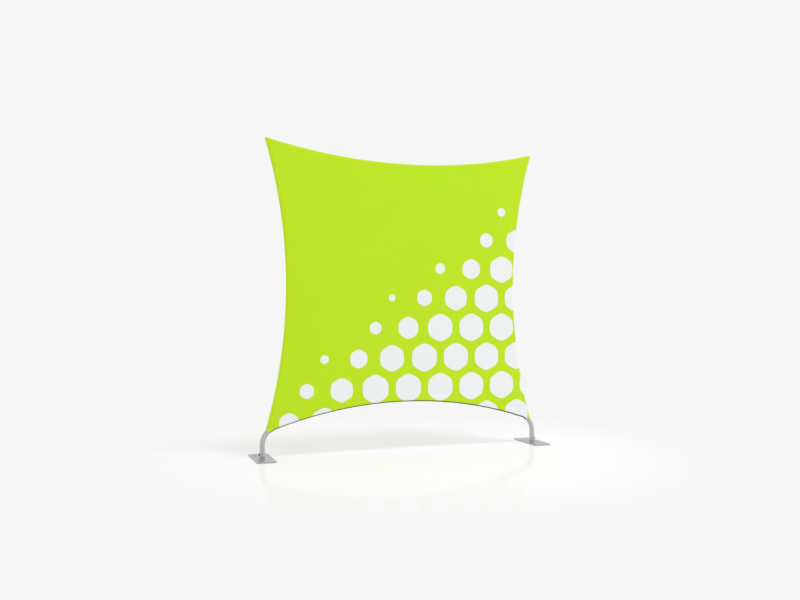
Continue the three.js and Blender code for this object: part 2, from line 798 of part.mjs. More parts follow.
for (const side of ["right", "left"]) {
  const half = new THREE.Group();
  half.scale.x = side === "right" ? 1 : -1;
  wall.add(half);

  // The plugs in mid span are fixed in the left tubes and slide into the right ones
  const topSliding = side === "right" ? [topMiddlePlug, plugs.elbow_top] : [plugs.elbow_top];
  const bottomSliding = side === "right" ? [bottomMiddlePlug, plugs.leg] : [plugs.leg];
  const sideMiddle = plugs.middle.distance;
  const tubes = {
    [`${side}_lower_tube`]: tube(sideLine, plugs.branch.distance, sideMiddle, [plugs.branch]),
    [`${side}_upper_tube`]: tube(sideLine, sideMiddle, plugs.elbow_side.distance, [
      plugs.middle,
      plugs.elbow_side,
    ]),
    [`top_${side}_tube`]: tube(topLine, 0, plugs.elbow_top.distance, topSliding),
    [`bottom_${side}_tube`]: tube(archLine, 0, plugs.leg.distance, bottomSliding),
    [`top_${side}_elbow`]: cornerElbow(),
    [`${side}_branch_tube`]: branchTube(),
    [`${side}_leg`]: leg(),
  };
  for (const [name, geometry] of Object.entries(tubes)) half.add(piece(name, geometry, satinTube));

  for (const [name, plug] of Object.entries(plugs)) {
    half.add(piece(`${side}_${name}_spigot`, spigot(plug), brightSleeve));
    half.add(placedSnapButton(`${side}_${name}_snap_button`, plug));
  }

  const foot = new THREE.Group();
  foot.position.x = legSpacing / 2;
  foot.add(piece(`${side}_foot_plate`, footPlate(), plateGrey));
  foot.add(piece(`${side}_foot_pad`, footPad(), blackRubber));
  foot.add(piece(`${side}_foot_post`, footPost(), brightSleeve));
  foot.add(piece(`${side}_plate_bolt`, plateBolt(), springSteel));
  half.add(foot);

  const knob = piece(`${side}_clamp_knob`, clampKnob(), blackPlastic);
  knob.quaternion.setFromUnitVectors(upright, outwards);
  knob.position.copy(knobAxis).addScaledVector(outwards, tubeRadius + clearance);
  half.add(knob);

  const { position, tangent } = archLine.at(archEndDistance - stopSetback);
  const stop = piece(`${side}_zip_stop`, endStop(), zipMetal);
  half.add(place(stop, inSpace(position), inSpace(tangent), outThroughZip(tangent)));
}

for (const [name, plug] of [
  ["top_middle", topMiddlePlug],
  ["bottom_middle", bottomMiddlePlug],
]) {
  wall.add(piece(`${name}_spigot`, spigot(plug), brightSleeve));
  wall.add(placedSnapButton(`${name}_snap_button`, plug));
}

wall.add(piece("front_panel", panel(-1, frontEdgeAngle), limeFabric));
wall.add(piece("back_panel", panel(1, -backEdgeAngle), limeFabric));
wall.add(piece("front_zip_tape", zipHalf(1), zipTape));
wall.add(piece("back_zip_tape", zipHalf(-1), zipTape));

// The slider is parked near the right leg, on the true circle of the lower tube
const parkAngle = archEndAngle + sliderSetback / archRadius;
const parkTangent = leftOf(point(Math.cos(parkAngle), Math.sin(parkAngle))).negate();
const slider = piece("zip_slider", zipSlider(), zipMetal);
place(slider, inSpace(onCircle(archCircle, parkAngle)), inSpace(parkTangent), outThroughZip(parkTangent));
const pull = piece("zip_pull", zipPull(), zipMetal);
pull.position.y = pullPivot;
slider.add(pull);
wall.add(slider);

export default wall;
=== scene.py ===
import math

import bmesh
import bpy
import numpy as np
from mathutils import Matrix, Vector


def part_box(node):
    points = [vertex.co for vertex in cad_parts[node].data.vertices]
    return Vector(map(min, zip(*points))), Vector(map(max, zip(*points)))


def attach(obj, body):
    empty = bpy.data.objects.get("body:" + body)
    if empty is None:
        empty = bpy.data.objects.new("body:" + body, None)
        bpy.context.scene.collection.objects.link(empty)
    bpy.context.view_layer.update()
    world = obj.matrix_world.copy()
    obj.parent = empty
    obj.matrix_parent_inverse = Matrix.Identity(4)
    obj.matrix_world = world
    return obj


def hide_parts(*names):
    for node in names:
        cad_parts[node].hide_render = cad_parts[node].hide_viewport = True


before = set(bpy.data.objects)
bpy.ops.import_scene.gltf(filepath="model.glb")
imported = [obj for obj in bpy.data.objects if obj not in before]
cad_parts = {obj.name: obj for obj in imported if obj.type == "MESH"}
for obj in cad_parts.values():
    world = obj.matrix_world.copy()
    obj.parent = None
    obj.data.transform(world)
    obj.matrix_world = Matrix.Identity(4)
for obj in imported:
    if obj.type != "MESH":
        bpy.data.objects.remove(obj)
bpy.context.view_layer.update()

# ---------------------------------------------------------------- camera
# The wall was photographed from left of its middle at eye level, from about six metres away.
# The camera's place, turn and lens were worked out from the wall's outline and its foot plates.

CAMERA_PLACE = (-2.2207, -5.8987, 1.0725)
CAMERA_TURN = 20.28  # degrees from straight at the wall towards +X
CAMERA_TILT = 0.566  # degrees upwards
FOCAL_LENGTH = 37.39  # mm, as is the sensor's width
SENSOR_WIDTH = 36


def in_scene(name, data):
    thing = bpy.data.objects.new(name, data)
    bpy.context.scene.collection.objects.link(thing)
    return thing


lens = bpy.data.cameras.new("camera")
lens.sensor_width = SENSOR_WIDTH
lens.lens = FOCAL_LENGTH
camera = in_scene("camera", lens)
camera.location = CAMERA_PLACE
camera.rotation_euler = (math.radians(90 + CAMERA_TILT), 0, math.radians(-CAMERA_TURN))
bpy.context.scene.camera = camera

# ---------------------------------------------------------------- foot plates and pads
# Each leg stands on a steel plate with rounded corners and edges, powder coated satin grey.
# A thin rubber pad is glued under it, and a countersunk bolt holds the leg's post from below.

LEG_SPACING = 2.174
PLATE_WIDTH = 0.140
PLATE_LENGTH = 0.360
PLATE_CORNER = 0.014
PLATE_EDGE = 0.0012  # rounding of the plate's top and bottom edges
PLATE_RINGS = (0.35, 0.7, 0.965)  # of points over the top face, as shares from the hole to the outline
PAD_EDGE = 0.0003
RING_STEPS = 16  # points in each quarter of a ring
BOLT_HEAD = 0.0078  # radius of the countersink, and of the hole above it
BOLT_HOLE = 0.0043
BOLT_HEAD_DEPTH = 0.0036
SHARP = 40  # degrees between faces, from which an edge stays sharp
SIDES = (("right", 1), ("left", -1))  # and their directions along X


class Signal:
    """A node's output, which can be used in a formula."""

    def __init__(self, graph, socket):
        self.graph = graph
        self.socket = socket

    def math(self, operation, *others):
        return self.graph.node("ShaderNodeMath", {"operation": operation}, (self, *others))

    def __add__(self, other):
        return self.math("ADD", other)

    def __sub__(self, other):
        return self.math("SUBTRACT", other)

    def __rsub__(self, other):
        return self.graph.node("ShaderNodeMath", {"operation": "SUBTRACT"}, (other, self))

    def __mul__(self, other):
        return self.math("MULTIPLY", other)

    def __truediv__(self, other):
        return self.math("DIVIDE", other)

    def __abs__(self):
        return self.math("ABSOLUTE")

    def __pow__(self, power):
        return self.math("POWER", power)

    __radd__ = __add__
    __rmul__ = __mul__

    def smooth(self, low, high):
        """0 below low, 1 above high and smooth between."""
        settings = {"interpolation_type": "SMOOTHSTEP"}
        return self.graph.node("ShaderNodeMapRange", settings, [self, low, high, 0.0, 1.0])


class Graph:
    """A node tree that is written as Python."""

    def __init__(self, tree):
        self.tree = tree

    def node(self, kind, settings=None, inputs=(), output=0):
        node = self.tree.nodes.new(kind)
        for key, value in (settings or {}).items():
            setattr(node, key, value)
        for key, value in inputs.items() if isinstance(inputs, dict) else enumerate(inputs):
            if isinstance(value, Signal):
                self.tree.links.new(value.socket, node.inputs[key])
            else:
                node.inputs[key].default_value = value
        return Signal(self, node.outputs[output])

    def vector(self, operation, *values, output=0):
        return self.node("ShaderNodeVectorMath", {"operation": operation}, values, output)

    def parts(self, vector, axes="XY"):
        return [self.node("ShaderNodeSeparateXYZ", None, [vector], axis) for axis in axes]

    def place(self):
        return self.node("ShaderNodeTexCoord", output="Object")

    def noise(self, scale, detail=2.0, place=None):
        """Noise over the piece's own place or another; one scale for each axis stretches it."""
        place = place or self.place()
        if isinstance(scale, tuple):
            place, scale = self.vector("MULTIPLY", place, scale), 1
        return self.node("ShaderNodeTexNoise", None, {"Vector": place, "Scale": scale, "Detail": detail})

    def mix(self, share, first, second):
        colours = [(*c, 1.0) if isinstance(c, tuple) else c for c in (first, second)]
        return self.node("ShaderNodeMix", {"data_type": "RGBA"}, {0: share, 6: colours[0], 7: colours[1]}, 2)

    def attribute(self, name, output="Fac"):
        return self.node("ShaderNodeAttribute", {"attribute_name": name}, output=output)


class Finish(Graph):
    """A material with one Principled surface."""

    def __init__(self, name):
        self.material = bpy.data.materials.new(name)
        self.material.use_nodes = True
        super().__init__(self.material.node_tree)
        self.tree.nodes.clear()

    def surface(self, bump=None, relief=0.0, **sockets):
        named = {name.replace("_", " ").title().replace("Ior", "IOR"): sockets[name] for name in sockets}
        if bump is not None:
            named["Normal"] = self.node("ShaderNodeBump", None, {"Height": bump, "Distance": relief})
        shader = self.node("ShaderNodeBsdfPrincipled", None, named)
        out = self.tree.nodes.new("ShaderNodeOutputMaterial")
        self.tree.links.new(shader.socket, out.inputs["Surface"])
        return self.material


def grained(name, scale, darker, lighter, roughness, spread, relief, detail=2.0):
    """A finish whose colour, roughness and relief follow one fine grain."""
    finish = Finish(name)
    grain = finish.noise(scale, detail)
    colour = finish.mix(grain, darker, lighter)
    return finish.surface(base_color=colour, roughness=roughness + spread * grain, bump=grain, relief=relief)


def quads(index):
    """Faces between the rows of a table of point numbers."""
    low, high = index[:-1], index[1:]
    rows = np.stack([low[:, :-1], low[:, 1:], high[:, 1:], high[:, :-1]], axis=-1)
    return rows.reshape(-1, 4).tolist()


def smoothed(mesh, sharp=None):
    """Shades a mesh smooth, apart from its edges sharper than an angle in degrees."""
    mesh.shade_smooth()
    if sharp:
        mesh.set_sharp_from_angle(angle=math.radians(sharp))
    return mesh


def noted(mesh, label, values):
    """Keeps a number or a vector at each point of a mesh, under a name."""
    values = np.array(values, np.float32)
    kind, key = ("FLOAT", "value") if values.ndim == 1 else ("FLOAT_VECTOR", "vector")
    mesh.attributes.new(label, kind, "POINT").data.foreach_set(key, values.ravel())


def ring_mesh(name, rings, closed=False, sharp=None):
    """A solid whose skin joins each ring of points to the next; it is closed on itself or capped."""
    points, count = np.concatenate(rings), len(rings[0])
    index = np.arange(len(points)).reshape(-1, count)
    faces = quads(np.pad(index, ((0, int(closed)), (0, 1)), mode="wrap"))
    if not closed:
        for ring in (index[0], index[-1]):
            faces += [(k, after, len(points)) for k, after in zip(ring, np.roll(ring, -1))]
            points = np.vstack([points, np.mean(points[ring], axis=0)])
    mesh = bpy.data.meshes.new(name)
    mesh.from_pydata(points.tolist(), [], faces)
    work = bmesh.new()
    work.from_mesh(mesh)
    bmesh.ops.recalc_face_normals(work, faces=work.faces)
    work.to_mesh(mesh)
    work.free()
    return smoothed(mesh, sharp)


def dressed(mesh, body, slot, finish, *nodes):
    """The piece with a mesh and a finish, and the body and CAD nodes that it stands for; the slot is not
    used.
    """
    piece = in_scene(mesh.name, mesh)
    mesh.materials.clear()
    mesh.materials.append(finish)
    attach(piece, body)
    if nodes:
        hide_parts(*nodes)
    return piece


def circle(radius, steps=4 * RING_STEPS):
    angles = np.linspace(0, 2 * np.pi, steps, endpoint=False)
    return radius * np.column_stack([np.cos(angles), np.sin(angles)])


def rounded_outline(half_width, half_length, corner):
    """A rectangle with round corners, in step with a circle."""
    sides = np.repeat([(1, 1), (-1, 1), (-1, -1), (1, -1)], RING_STEPS, axis=0)
    return sides * (half_width - corner, half_length - corner) + circle(corner)


def at_height(outline, height, centre=(0.0, 0.0)):
    return np.column_stack([outline + np.array(centre), np.full(len(outline), height)])


def edge_round(low, high, radius, steps=4):
    """Insets and heights down a side whose two edges are rounded."""
    turns = np.linspace(0, np.pi / 2, steps)
    top = [(radius * (1 - math.sin(t)), high - radius * (1 - math.cos(t))) for t in turns]
    return top + [(inset, low + high - height) for inset, height in reversed(top)]


def slab(width, length, corner, edge, low, high, centre):
    """The rings down the side of a slab with rounded corners and edges."""
    return [
        at_height(rounded_outline(width / 2 - inset, length / 2 - inset, corner - inset), height, centre)
        for inset, height in edge_round(low, high, edge)
    ]


plate_coat = Finish("satin_grey_powder_coat")
grain = plate_coat.noise(900)
scuff = plate_coat.noise((30, 7, 30), 5)
rubbed = plate_coat.noise(60, 4)
# The plate's rounded edges and side faces are painted lighter: partly wear along the edges, partly a painted
# highlight that lifts the shade on the sides.
edge_wear_and_painted_light = plate_coat.attribute("edge") * (0.3 + 0.35 * rubbed)
coat_grey = plate_coat.mix(0.6 * grain + 0.4 * rubbed, (0.30, 0.31, 0.305), (0.36, 0.365, 0.36))
plate_finish = plate_coat.surface(
    base_color=plate_coat.mix(edge_wear_and_painted_light, coat_grey, (0.6, 0.6, 0.6)),
    roughness=0.2 + 0.14 * scuff - 0.05 * edge_wear_and_painted_light,
    metallic=0.4,
    bump=grain,
    relief=0.00008,
)
pad_finish = grained("black_rubber", 1500, (0.012, 0.012, 0.012), (0.03, 0.03, 0.03), 0.85, 0.1, 0.0001)

for side, direction in SIDES:
    centre = (direction * LEG_SPACING / 2, 0.0)
    low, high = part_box(f"{side}_foot_plate")
    hole, outline = circle(BOLT_HOLE), rounded_outline(PLATE_WIDTH / 2, PLATE_LENGTH / 2, PLATE_CORNER)
    rings = [at_height(circle(BOLT_HEAD), low.z, centre), at_height(hole, low.z + BOLT_HEAD_DEPTH, centre)]
    for share in (0, *PLATE_RINGS):
        rings.append(at_height((1 - share) * hole + share * outline, high.z, centre))
    sides = slab(PLATE_WIDTH, PLATE_LENGTH, PLATE_CORNER, PLATE_EDGE, low.z, high.z, centre)
    mesh = ring_mesh(f"{side}_coated_plate", rings + sides, closed=True, sharp=SHARP)
    noted(mesh, "edge", np.repeat([0] * len(rings) + [1] * len(sides), 4 * RING_STEPS))
    dressed(mesh, f"{side}_foot", "plate", plate_finish, f"{side}_foot_plate")

    low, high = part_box(f"{side}_foot_pad")
    width, length = high.x - low.x, high.y - low.y
    rings = slab(width, length, PLATE_CORNER - (PLATE_WIDTH - width) / 2, PAD_EDGE, low.z, high.z, centre)
    dressed(ring_mesh(f"{side}_rubber_pad", rings), f"{side}_foot", "pad", pad_finish, f"{side}_foot_pad")

# ---------------------------------------------------------------- foot posts and bolts
# A drawn aluminium post stands on each plate inside the leg, so that the plate can swivel under it.
# The countersunk steel bolt comes up through the plate into the post's threaded foot.

TURNED_SHARP = 35  # degrees, as SHARP, for small turned and pressed pieces


def metal(name, colour, roughness, lines_scale=(600, 600, 60)):
    """A bare metal with fine drawing lines and soft cloudy wear."""
    finish = Finish(name)
    lines = finish.noise(lines_scale, 3)
    clouds = finish.noise(25)
    darker = tuple(0.82 * channel for channel in colour)
    return finish.surface(
        base_color=finish.mix(lines * 0.6 + clouds * 0.4, darker, colour),
        roughness=roughness + 0.12 * clouds,
        metallic=1.0,
        bump=lines,
        relief=0.00003,
    )


def turned_piece(node, body, slot, finish):
    """A piece with a CAD node's own shape, whole and with its round faces smooth."""
    work = bmesh.new()
    work.from_mesh(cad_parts[node].data)
    bmesh.ops.remove_doubles(work, verts=work.verts, dist=1e-6)
    mesh = bpy.data.meshes.new("finished_" + node)
    work.to_mesh(mesh)
    work.free()
    dressed(smoothed(mesh, TURNED_SHARP), body, slot, finish, node)


sleeve_finish = metal("drawn_sleeve_aluminium", (0.72, 0.73, 0.74), 0.22)
bolt_finish = metal("zinc_plated_steel", (0.55, 0.57, 0.6), 0.3, (900, 900, 900))
for side in ("right", "left"):
    turned_piece(f"{side}_foot_post", f"{side}_foot", "sleeve", sleeve_finish)
    turned_piece(f"{side}_plate_bolt", f"{side}_foot", "bolt", bolt_finish)

# ---------------------------------------------------------------- centre lines of the frame
# The tubes of the loop are bent to plain arcs in one upright plane. Each curve is hollow: it bows in
# towards the middle of the wall, and the lower one runs on smoothly into the bends of the legs.

CORNER_SPAN = 2.092  # between the top corners, on the tubes' centre lines
CORNER_HEIGHT = 2.273
TOP_INSET = 0.126
SIDE_INSET = 0.149
CROWN_HEIGHT = 0.386  # of the lower curve, over the floor
LEG_UPRIGHT = 0.093  # floor to the start of the leg's bend
BEND_RADIUS = 0.140
BRANCH_ANGLE = math.radians(45)  # round the bend, where the side tube branches off
TUBE_RADIUS = 0.019


class Arc:
    """A round stretch of centre line, between two angles of a circle in the wall's plane."""

    def __init__(self, centre, radius, start, end):
        self.centre = np.array(centre)
        self.radius = radius
        self.start = start
        self.turn = end - start
        self.length = abs(self.turn) * radius

    def spoke(self, distance):
        angle = self.start + self.turn * distance / self.length
        return np.array([math.cos(angle), math.sin(angle)])

    def point(self, distance):
        return self.centre + self.radius * self.spoke(distance)

    def mirrored(self):
        """The same stretch on the other side of the wall, run the other way."""
        start = math.pi - self.start
        return Arc(self.centre * (-1, 1), self.radius, start - self.turn, start)


def bowed(first, last, inset):
    """The arc from one point to another that bows to the left of the way between them."""
    first, last = np.array(first), np.array(last)
    half = np.linalg.norm(last - first) / 2
    radius = (half**2 + inset**2) / (2 * inset)
    along = (last - first) / (2 * half)
    left = np.array([-along[1], along[0]])
    centre = (first + last) / 2 + (inset - radius) * left
    angles = [math.atan2(*(p - centre)[::-1]) for p in (first, last)]
    turn = (angles[1] - angles[0] + math.pi) % (2 * math.pi) - math.pi
    return Arc(centre, radius, angles[0], angles[0] + turn)


bend_centre = np.array([LEG_SPACING / 2 - BEND_RADIUS, LEG_UPRIGHT])
crown_over_bend = CROWN_HEIGHT - LEG_UPRIGHT
arch_radius = bend_centre[0] ** 2 + crown_over_bend**2 - BEND_RADIUS**2
arch_radius /= 2 * (crown_over_bend - BEND_RADIUS)
arch_centre = np.array([0.0, CROWN_HEIGHT - arch_radius])
arch_end_angle = math.atan2(*(bend_centre - arch_centre)[::-1])
arch = Arc(arch_centre, arch_radius, math.pi - arch_end_angle, arch_end_angle)
upper_bend = Arc(bend_centre, BEND_RADIUS, arch_end_angle, BRANCH_ANGLE)
lower_bend = Arc(bend_centre, BEND_RADIUS, BRANCH_ANGLE, 0.0)
branch_point = upper_bend.point(upper_bend.length)
top_corner = np.array([CORNER_SPAN / 2, CORNER_HEIGHT])
side_curve = bowed(branch_point, top_corner, SIDE_INSET)
top_curve = bowed(top_corner, top_corner * (-1, 1), TOP_INSET)

# ---------------------------------------------------------------- tubes
# Every length of tube is drawn aluminium of 38 mm, satin anodised, bent to its curve and cut square.
# Each carries the holes through which the snap buttons of the sleeves that slide into it stand out.

TUBE_WALL = 0.0015
TUBE_SIDES = 48
TUBE_STEP = 0.018  # length of tube for each ring of its mesh, and round the leg's bend
BEND_STEP = 0.004
JOINT_GAP = 0.0003
LEG_JOINT = 0.0672  # from the end of the lower curve back to where the leg plugs in
BRANCH_JOINT = side_curve.length / 10  # up the side curve
ELBOW_REACH = 0.075
BUTTON_SETBACK = 0.028  # from a tube's end to its button hole
BUTTON_HOLE = 0.005
LEG_LIFT = 0.001  # the leg ends this far over its plate
KNOB_HEIGHT = 0.032
STUD_HOLE = 0.0036
DRILL_SIDES = 24


class Tree(Graph):
    """A Geometry Nodes tree with named inputs; grow() runs it on a base mesh."""

    def __init__(self, name, **sizes):
        super().__init__(bpy.data.node_groups.new(name, "GeometryNodeTree"))
        kinds = {int: "Int", float: "Float"}
        self.socket("Geometry", "Geometry")
        self.socket("Geometry", "Geometry", "OUTPUT")
        for label, value in sizes.items():
            self.socket(label, kinds[type(value)]).default_value = value
        self.socket("Material", "Material")
        self.group = self.tree.nodes.new("NodeGroupInput")

    def socket(self, label, kind, way="INPUT"):
        return self.tree.interface.new_socket(label, in_out=way, socket_type="NodeSocket" + kind)

    def given(self, label):
        return Signal(self, self.group.outputs[label])

    def captured(self, geometry, kind, value):
        """Keeps a value at each point, as it is before the geometry is built on."""
        node = self.tree.nodes.new("GeometryNodeCaptureAttribute")
        node.capture_items.new(kind, "Kept")
        self.tree.links.new(geometry.socket, node.inputs["Geometry"])
        self.tree.links.new(value.socket, node.inputs["Kept"])
        return Signal(self, node.outputs["Geometry"]), Signal(self, node.outputs["Kept"])

    def finish(self, geometry):
        whole = self.node("GeometryNodeRealizeInstances", None, [geometry])
        smooth = self.node("GeometryNodeSetShadeSmooth", None, {"Geometry": whole})
        inputs = {"Geometry": smooth, "Material": self.given("Material")}
        coloured = self.node("GeometryNodeSetMaterial", None, inputs)
        out = self.tree.nodes.new("NodeGroupOutput")
        self.tree.links.new(coloured.socket, out.inputs["Geometry"])

    def grow(self, name, base, **values):
        """The plain mesh that the tree makes from a base mesh."""
        seed = in_scene(name + "_base", base)
        modifier = seed.modifiers.new("grow", "NODES")
        modifier.node_group = self.tree
        for socket in self.tree.interface.items_tree:
            if socket.name in values:
                modifier[socket.identifier] = values[socket.name]
        return evaluated(seed, name)


def evaluated(source, name):
    """The mesh that an object's modifiers make; the object is taken away."""
    bpy.context.view_layer.update()
    graph = bpy.context.evaluated_depsgraph_get()
    mesh = bpy.data.meshes.new_from_object(source.evaluated_get(graph))
    base = source.data
    bpy.data.objects.remove(source)
    bpy.data.meshes.remove(base)
    mesh.name = name
    return mesh


def line_mesh(points, **vectors):
    """A mesh of one open line, with a vector at each point for each name given."""
    mesh = bpy.data.meshes.new("line")
    mesh.from_pydata([tuple(p) for p in points], [(i, i + 1) for i in range(len(points) - 1)], [])
    for label, values in vectors.items():
        noted(mesh, label, values)
    return mesh


def bent_tube_tree():
    """Sweeps a wall along the base line, bores it through, and notes where on the stock each point lies."""
    tree = Tree("bent_tube", Radius=TUBE_RADIUS, Wall=TUBE_WALL, Sides=TUBE_SIDES)

    def profile(radius):
        inputs = {"Resolution": tree.given("Sides"), "Radius": radius}
        return tree.node("GeometryNodeCurvePrimitiveCircle", None, inputs)

    def swept(path, outline):
        inputs = {"Curve": path, "Profile Curve": outline, "Fill Caps": True}
        return tree.node("GeometryNodeCurveToMesh", None, inputs)

    line = tree.node("GeometryNodeMeshToCurve", None, [tree.given("Geometry")])
    run = tree.node("GeometryNodeSplineParameter", output="Length")
    line, length = tree.captured(line, "FLOAT", run)
    position = tree.node("GeometryNodeInputPosition")
    outline, spoke = tree.captured(profile(tree.given("Radius")), "VECTOR", position)
    stock = tree.node("ShaderNodeCombineXYZ", None, [*tree.parts(spoke), length])
    settings = {"data_type": "FLOAT_VECTOR", "domain": "POINT"}
    inputs = {"Geometry": swept(line, outline), "Name": "on_stock", "Value": stock}
    outer = tree.node("GeometryNodeStoreNamedAttribute", settings, inputs)

    tangent = tree.node("GeometryNodeInputTangent")
    for start, end, way in ((1, 0, -1.0), (0, 1, 1.0)):  # the bore runs out past both ends
        ends = tree.node("GeometryNodeCurveEndpointSelection", None, [start, end])
        push = tree.vector("MULTIPLY", tangent, (way * TUBE_WALL,) * 3)
        inputs = {"Geometry": line, "Selection": ends, "Offset": push}
        line = tree.node("GeometryNodeSetPosition", None, inputs)
    bore = swept(line, profile(tree.given("Radius") - tree.given("Wall")))
    settings = {"operation": "DIFFERENCE", "solver": "EXACT"}
    tree.finish(tree.node("GeometryNodeMeshBoolean", settings, {"Mesh 1": outer, "Mesh 2": bore}))
    return tree


def in_space(points):
    return [Vector((x, 0.0, z)) for x, z in points]


def joined(mesh, tools, operation="DIFFERENCE", edge=0):
    """A mesh less the tools, or made one with them, its edges softened if an edge is given."""
    name = mesh.name
    piece = in_scene(name, mesh)
    for tool in tools:
        modifier = piece.modifiers.new("join", "BOOLEAN")
        modifier.object = tool
        modifier.operation = operation
        modifier.solver = "EXACT"
    if edge:
        bevel = piece.modifiers.new("soft_edges", "BEVEL")
        bevel.width = edge
        bevel.segments = 2
        bevel.limit_method = "ANGLE"
    mesh = evaluated(piece, name)
    for tool in tools:
        bpy.data.objects.remove(tool)
    return mesh


def drill(start, direction, radius):
    """A round cutter from a point of a centre line out through one wall."""
    turn = Vector(direction).normalized().to_track_quat("Z", "Y").to_matrix()
    rings = [at_height(circle(radius, DRILL_SIDES), height) for height in (0.0, 2 * TUBE_RADIUS)]
    points = [[Vector(start) + turn @ Vector(p) for p in ring] for ring in rings]
    return in_scene("drill", ring_mesh("drill", np.array(points)))


def stretch(arc, start, end, step=TUBE_STEP):
    count = max(2, math.ceil((end - start) / step) + 1)
    return [arc.point(distance) for distance in np.linspace(start, end, count)]


anodised = Finish("satin_anodised_tube")
stock = anodised.attribute("on_stock", "Vector")
draw_lines = anodised.noise((900, 900, 5), 3, stock)
matt_clouds = anodised.noise((60, 60, 12), 2, stock)
etch = anodised.noise(2200)
tube_finish = anodised.surface(
    base_color=anodised.mix(0.7 * draw_lines + 0.3 * matt_clouds, (0.45, 0.455, 0.45), (0.55, 0.555, 0.55)),
    roughness=0.34 + 0.14 * matt_clouds,
    metallic=0.85,
    bump=0.7 * draw_lines + 0.3 * etch,
    relief=0.00003,
)

bent_tube = bent_tube_tree()


def tube(name, node, line, tools, direction=1):
    """A length of tube along a line in the wall's plane, or its mirror image, less what the tools cut."""
    base = line_mesh(in_space([point * (direction, 1) for point in line]))
    mesh = joined(bent_tube.grow(name, base, Material=tube_finish), tools)
    dressed(smoothed(mesh, SHARP), "frame", "tube", tube_finish, node)


half_gap = JOINT_GAP / 2
side_middle = side_curve.length / 2
side_elbow = side_curve.length - ELBOW_REACH
leg_butt = arch.length - LEG_JOINT
tube_plan = {  # each right-hand tube's arc, and the joints at its two ends
    "right_lower_tube": (side_curve, BRANCH_JOINT, side_middle),
    "right_upper_tube": (side_curve, side_middle, side_elbow),
    "top_right_tube": (top_curve, ELBOW_REACH, top_curve.length / 2),
    "bottom_right_tube": (arch, arch.length / 2, leg_butt),
}
# these have their own sleeve fixed in the end at mid span, and no button hole there
sleeved = ("right_lower_tube", "left_lower_tube", "top_left_tube", "bottom_left_tube")
for right_tube, (arc, first, last) in tube_plan.items():
    holes = [first + BUTTON_SETBACK, last - BUTTON_SETBACK]
    for node in (right_tube, right_tube.replace("right", "left")):
        if node != right_tube:
            holes = [arc.length - hole for hole in holes]
            arc, first, last = arc.mirrored(), arc.length - last, arc.length - first
        drills = []
        for hole in holes:
            if node not in sleeved or abs(hole - arc.length / 2) > 2 * BUTTON_SETBACK:
                drills.append(drill(*in_space([arc.point(hole), arc.spoke(hole)]), BUTTON_HOLE))
        tube("drawn_" + node, node, stretch(arc, first + half_gap, last - half_gap), drills)

leg_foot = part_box("right_foot_plate")[1].z + LEG_LIFT
leg_line = stretch(arch, leg_butt + half_gap, arch.length)
leg_line += stretch(upper_bend, 0.0, upper_bend.length, BEND_STEP)[1:]
leg_line += stretch(lower_bend, 0.0, lower_bend.length, BEND_STEP)[1:]
leg_line += [np.array([LEG_SPACING / 2, height]) for height in np.linspace(LEG_UPRIGHT, leg_foot, 5)[1:]]
for side, direction in SIDES:
    stud_hole = drill((direction * LEG_SPACING / 2, 0, KNOB_HEIGHT), (direction, 0, 0), STUD_HOLE)
    tube(f"bent_{side}_leg", f"{side}_leg", leg_line, [stud_hole], direction)

# ---------------------------------------------------------------- top corner elbows and branch tubes
# At each top corner two short arms of tube are cut to a mitre and welded, and the tip is ground round.
# A short branch is coped to fit the leg's bend, welded there and ground flush; it carries the side tube.

MITRE_REACH = 0.060  # over which sections turn from the mitre at a corner to square
ELBOW_ROUNDING = 0.007  # of the elbow's outline at its tip
ARM_SECTIONS = 24
BEND_SECTIONS = 40


def along(arcs, distances):
    """The points on a run of arcs, and at each the direction to its circle's centre."""
    points, outs = [], []
    for distance in distances:
        for arc in arcs:
            if distance <= arc.length or arc is arcs[-1]:
                break
            distance -= arc.length
        points.append(arc.point(distance))
        outs.append(-arc.spoke(distance))
    return np.array(points), np.array(outs)


def turned_to_corner(points, outs, corner, mitre):
    """Leans the sections near a corner towards its mitre, so that they meet there."""
    away = points - corner
    distance = np.linalg.norm(away, axis=1)
    first = np.argsort(distance)[1]
    tangent = away[first] / distance[first]
    lean = -(mitre @ tangent) * np.clip(1 - distance / MITRE_REACH, 0, 1)
    tangents = np.column_stack([-outs[:, 1], outs[:, 0]])
    tangents *= np.sign(tangents @ tangent)[:, None]
    turned = outs - lean[:, None] * tangents
    turned[distance < 1e-6] = mitre
    return turned


def rounded_tip(points, outs, radius, corner, mitre, rounding):
    """Rounds the outline of a mitred corner, which would else come to a sharp tip."""
    size = np.linalg.norm(mitre)
    ahead = mitre / size
    half_angle = math.asin(1 / size)
    tip = corner + mitre * radius
    outline = points + outs * radius
    from_tip = outline - tip
    distance = np.linalg.norm(from_tip, axis=1) * math.tan(half_angle) / rounding
    turn = np.sign(ahead[0] * from_tip[:, 1] - ahead[1] * from_tip[:, 0])
    turn *= distance * (math.pi / 2 - half_angle)
    sideways = np.array([-ahead[1], ahead[0]])
    spokes = np.cos(turn)[:, None] * ahead + np.sin(turn)[:, None] * sideways
    arc = tip - ahead * rounding * size + rounding * spokes
    return (np.where((distance < 1)[:, None], arc, outline) - points) / radius


def sections(points, outs, ins, radius):
    """Rings round a line in the wall's plane, skewed as outs says on the outer side and ins on the inner."""
    angles = np.linspace(0, 2 * np.pi, TUBE_SIDES, endpoint=False)
    for point, out, in_ in zip(points, outs, ins):
        plan = point + np.where(np.cos(angles)[:, None] > 0, out, in_) * np.cos(angles)[:, None] * radius
        yield np.column_stack([plan[:, 0], radius * np.sin(angles), plan[:, 1]])


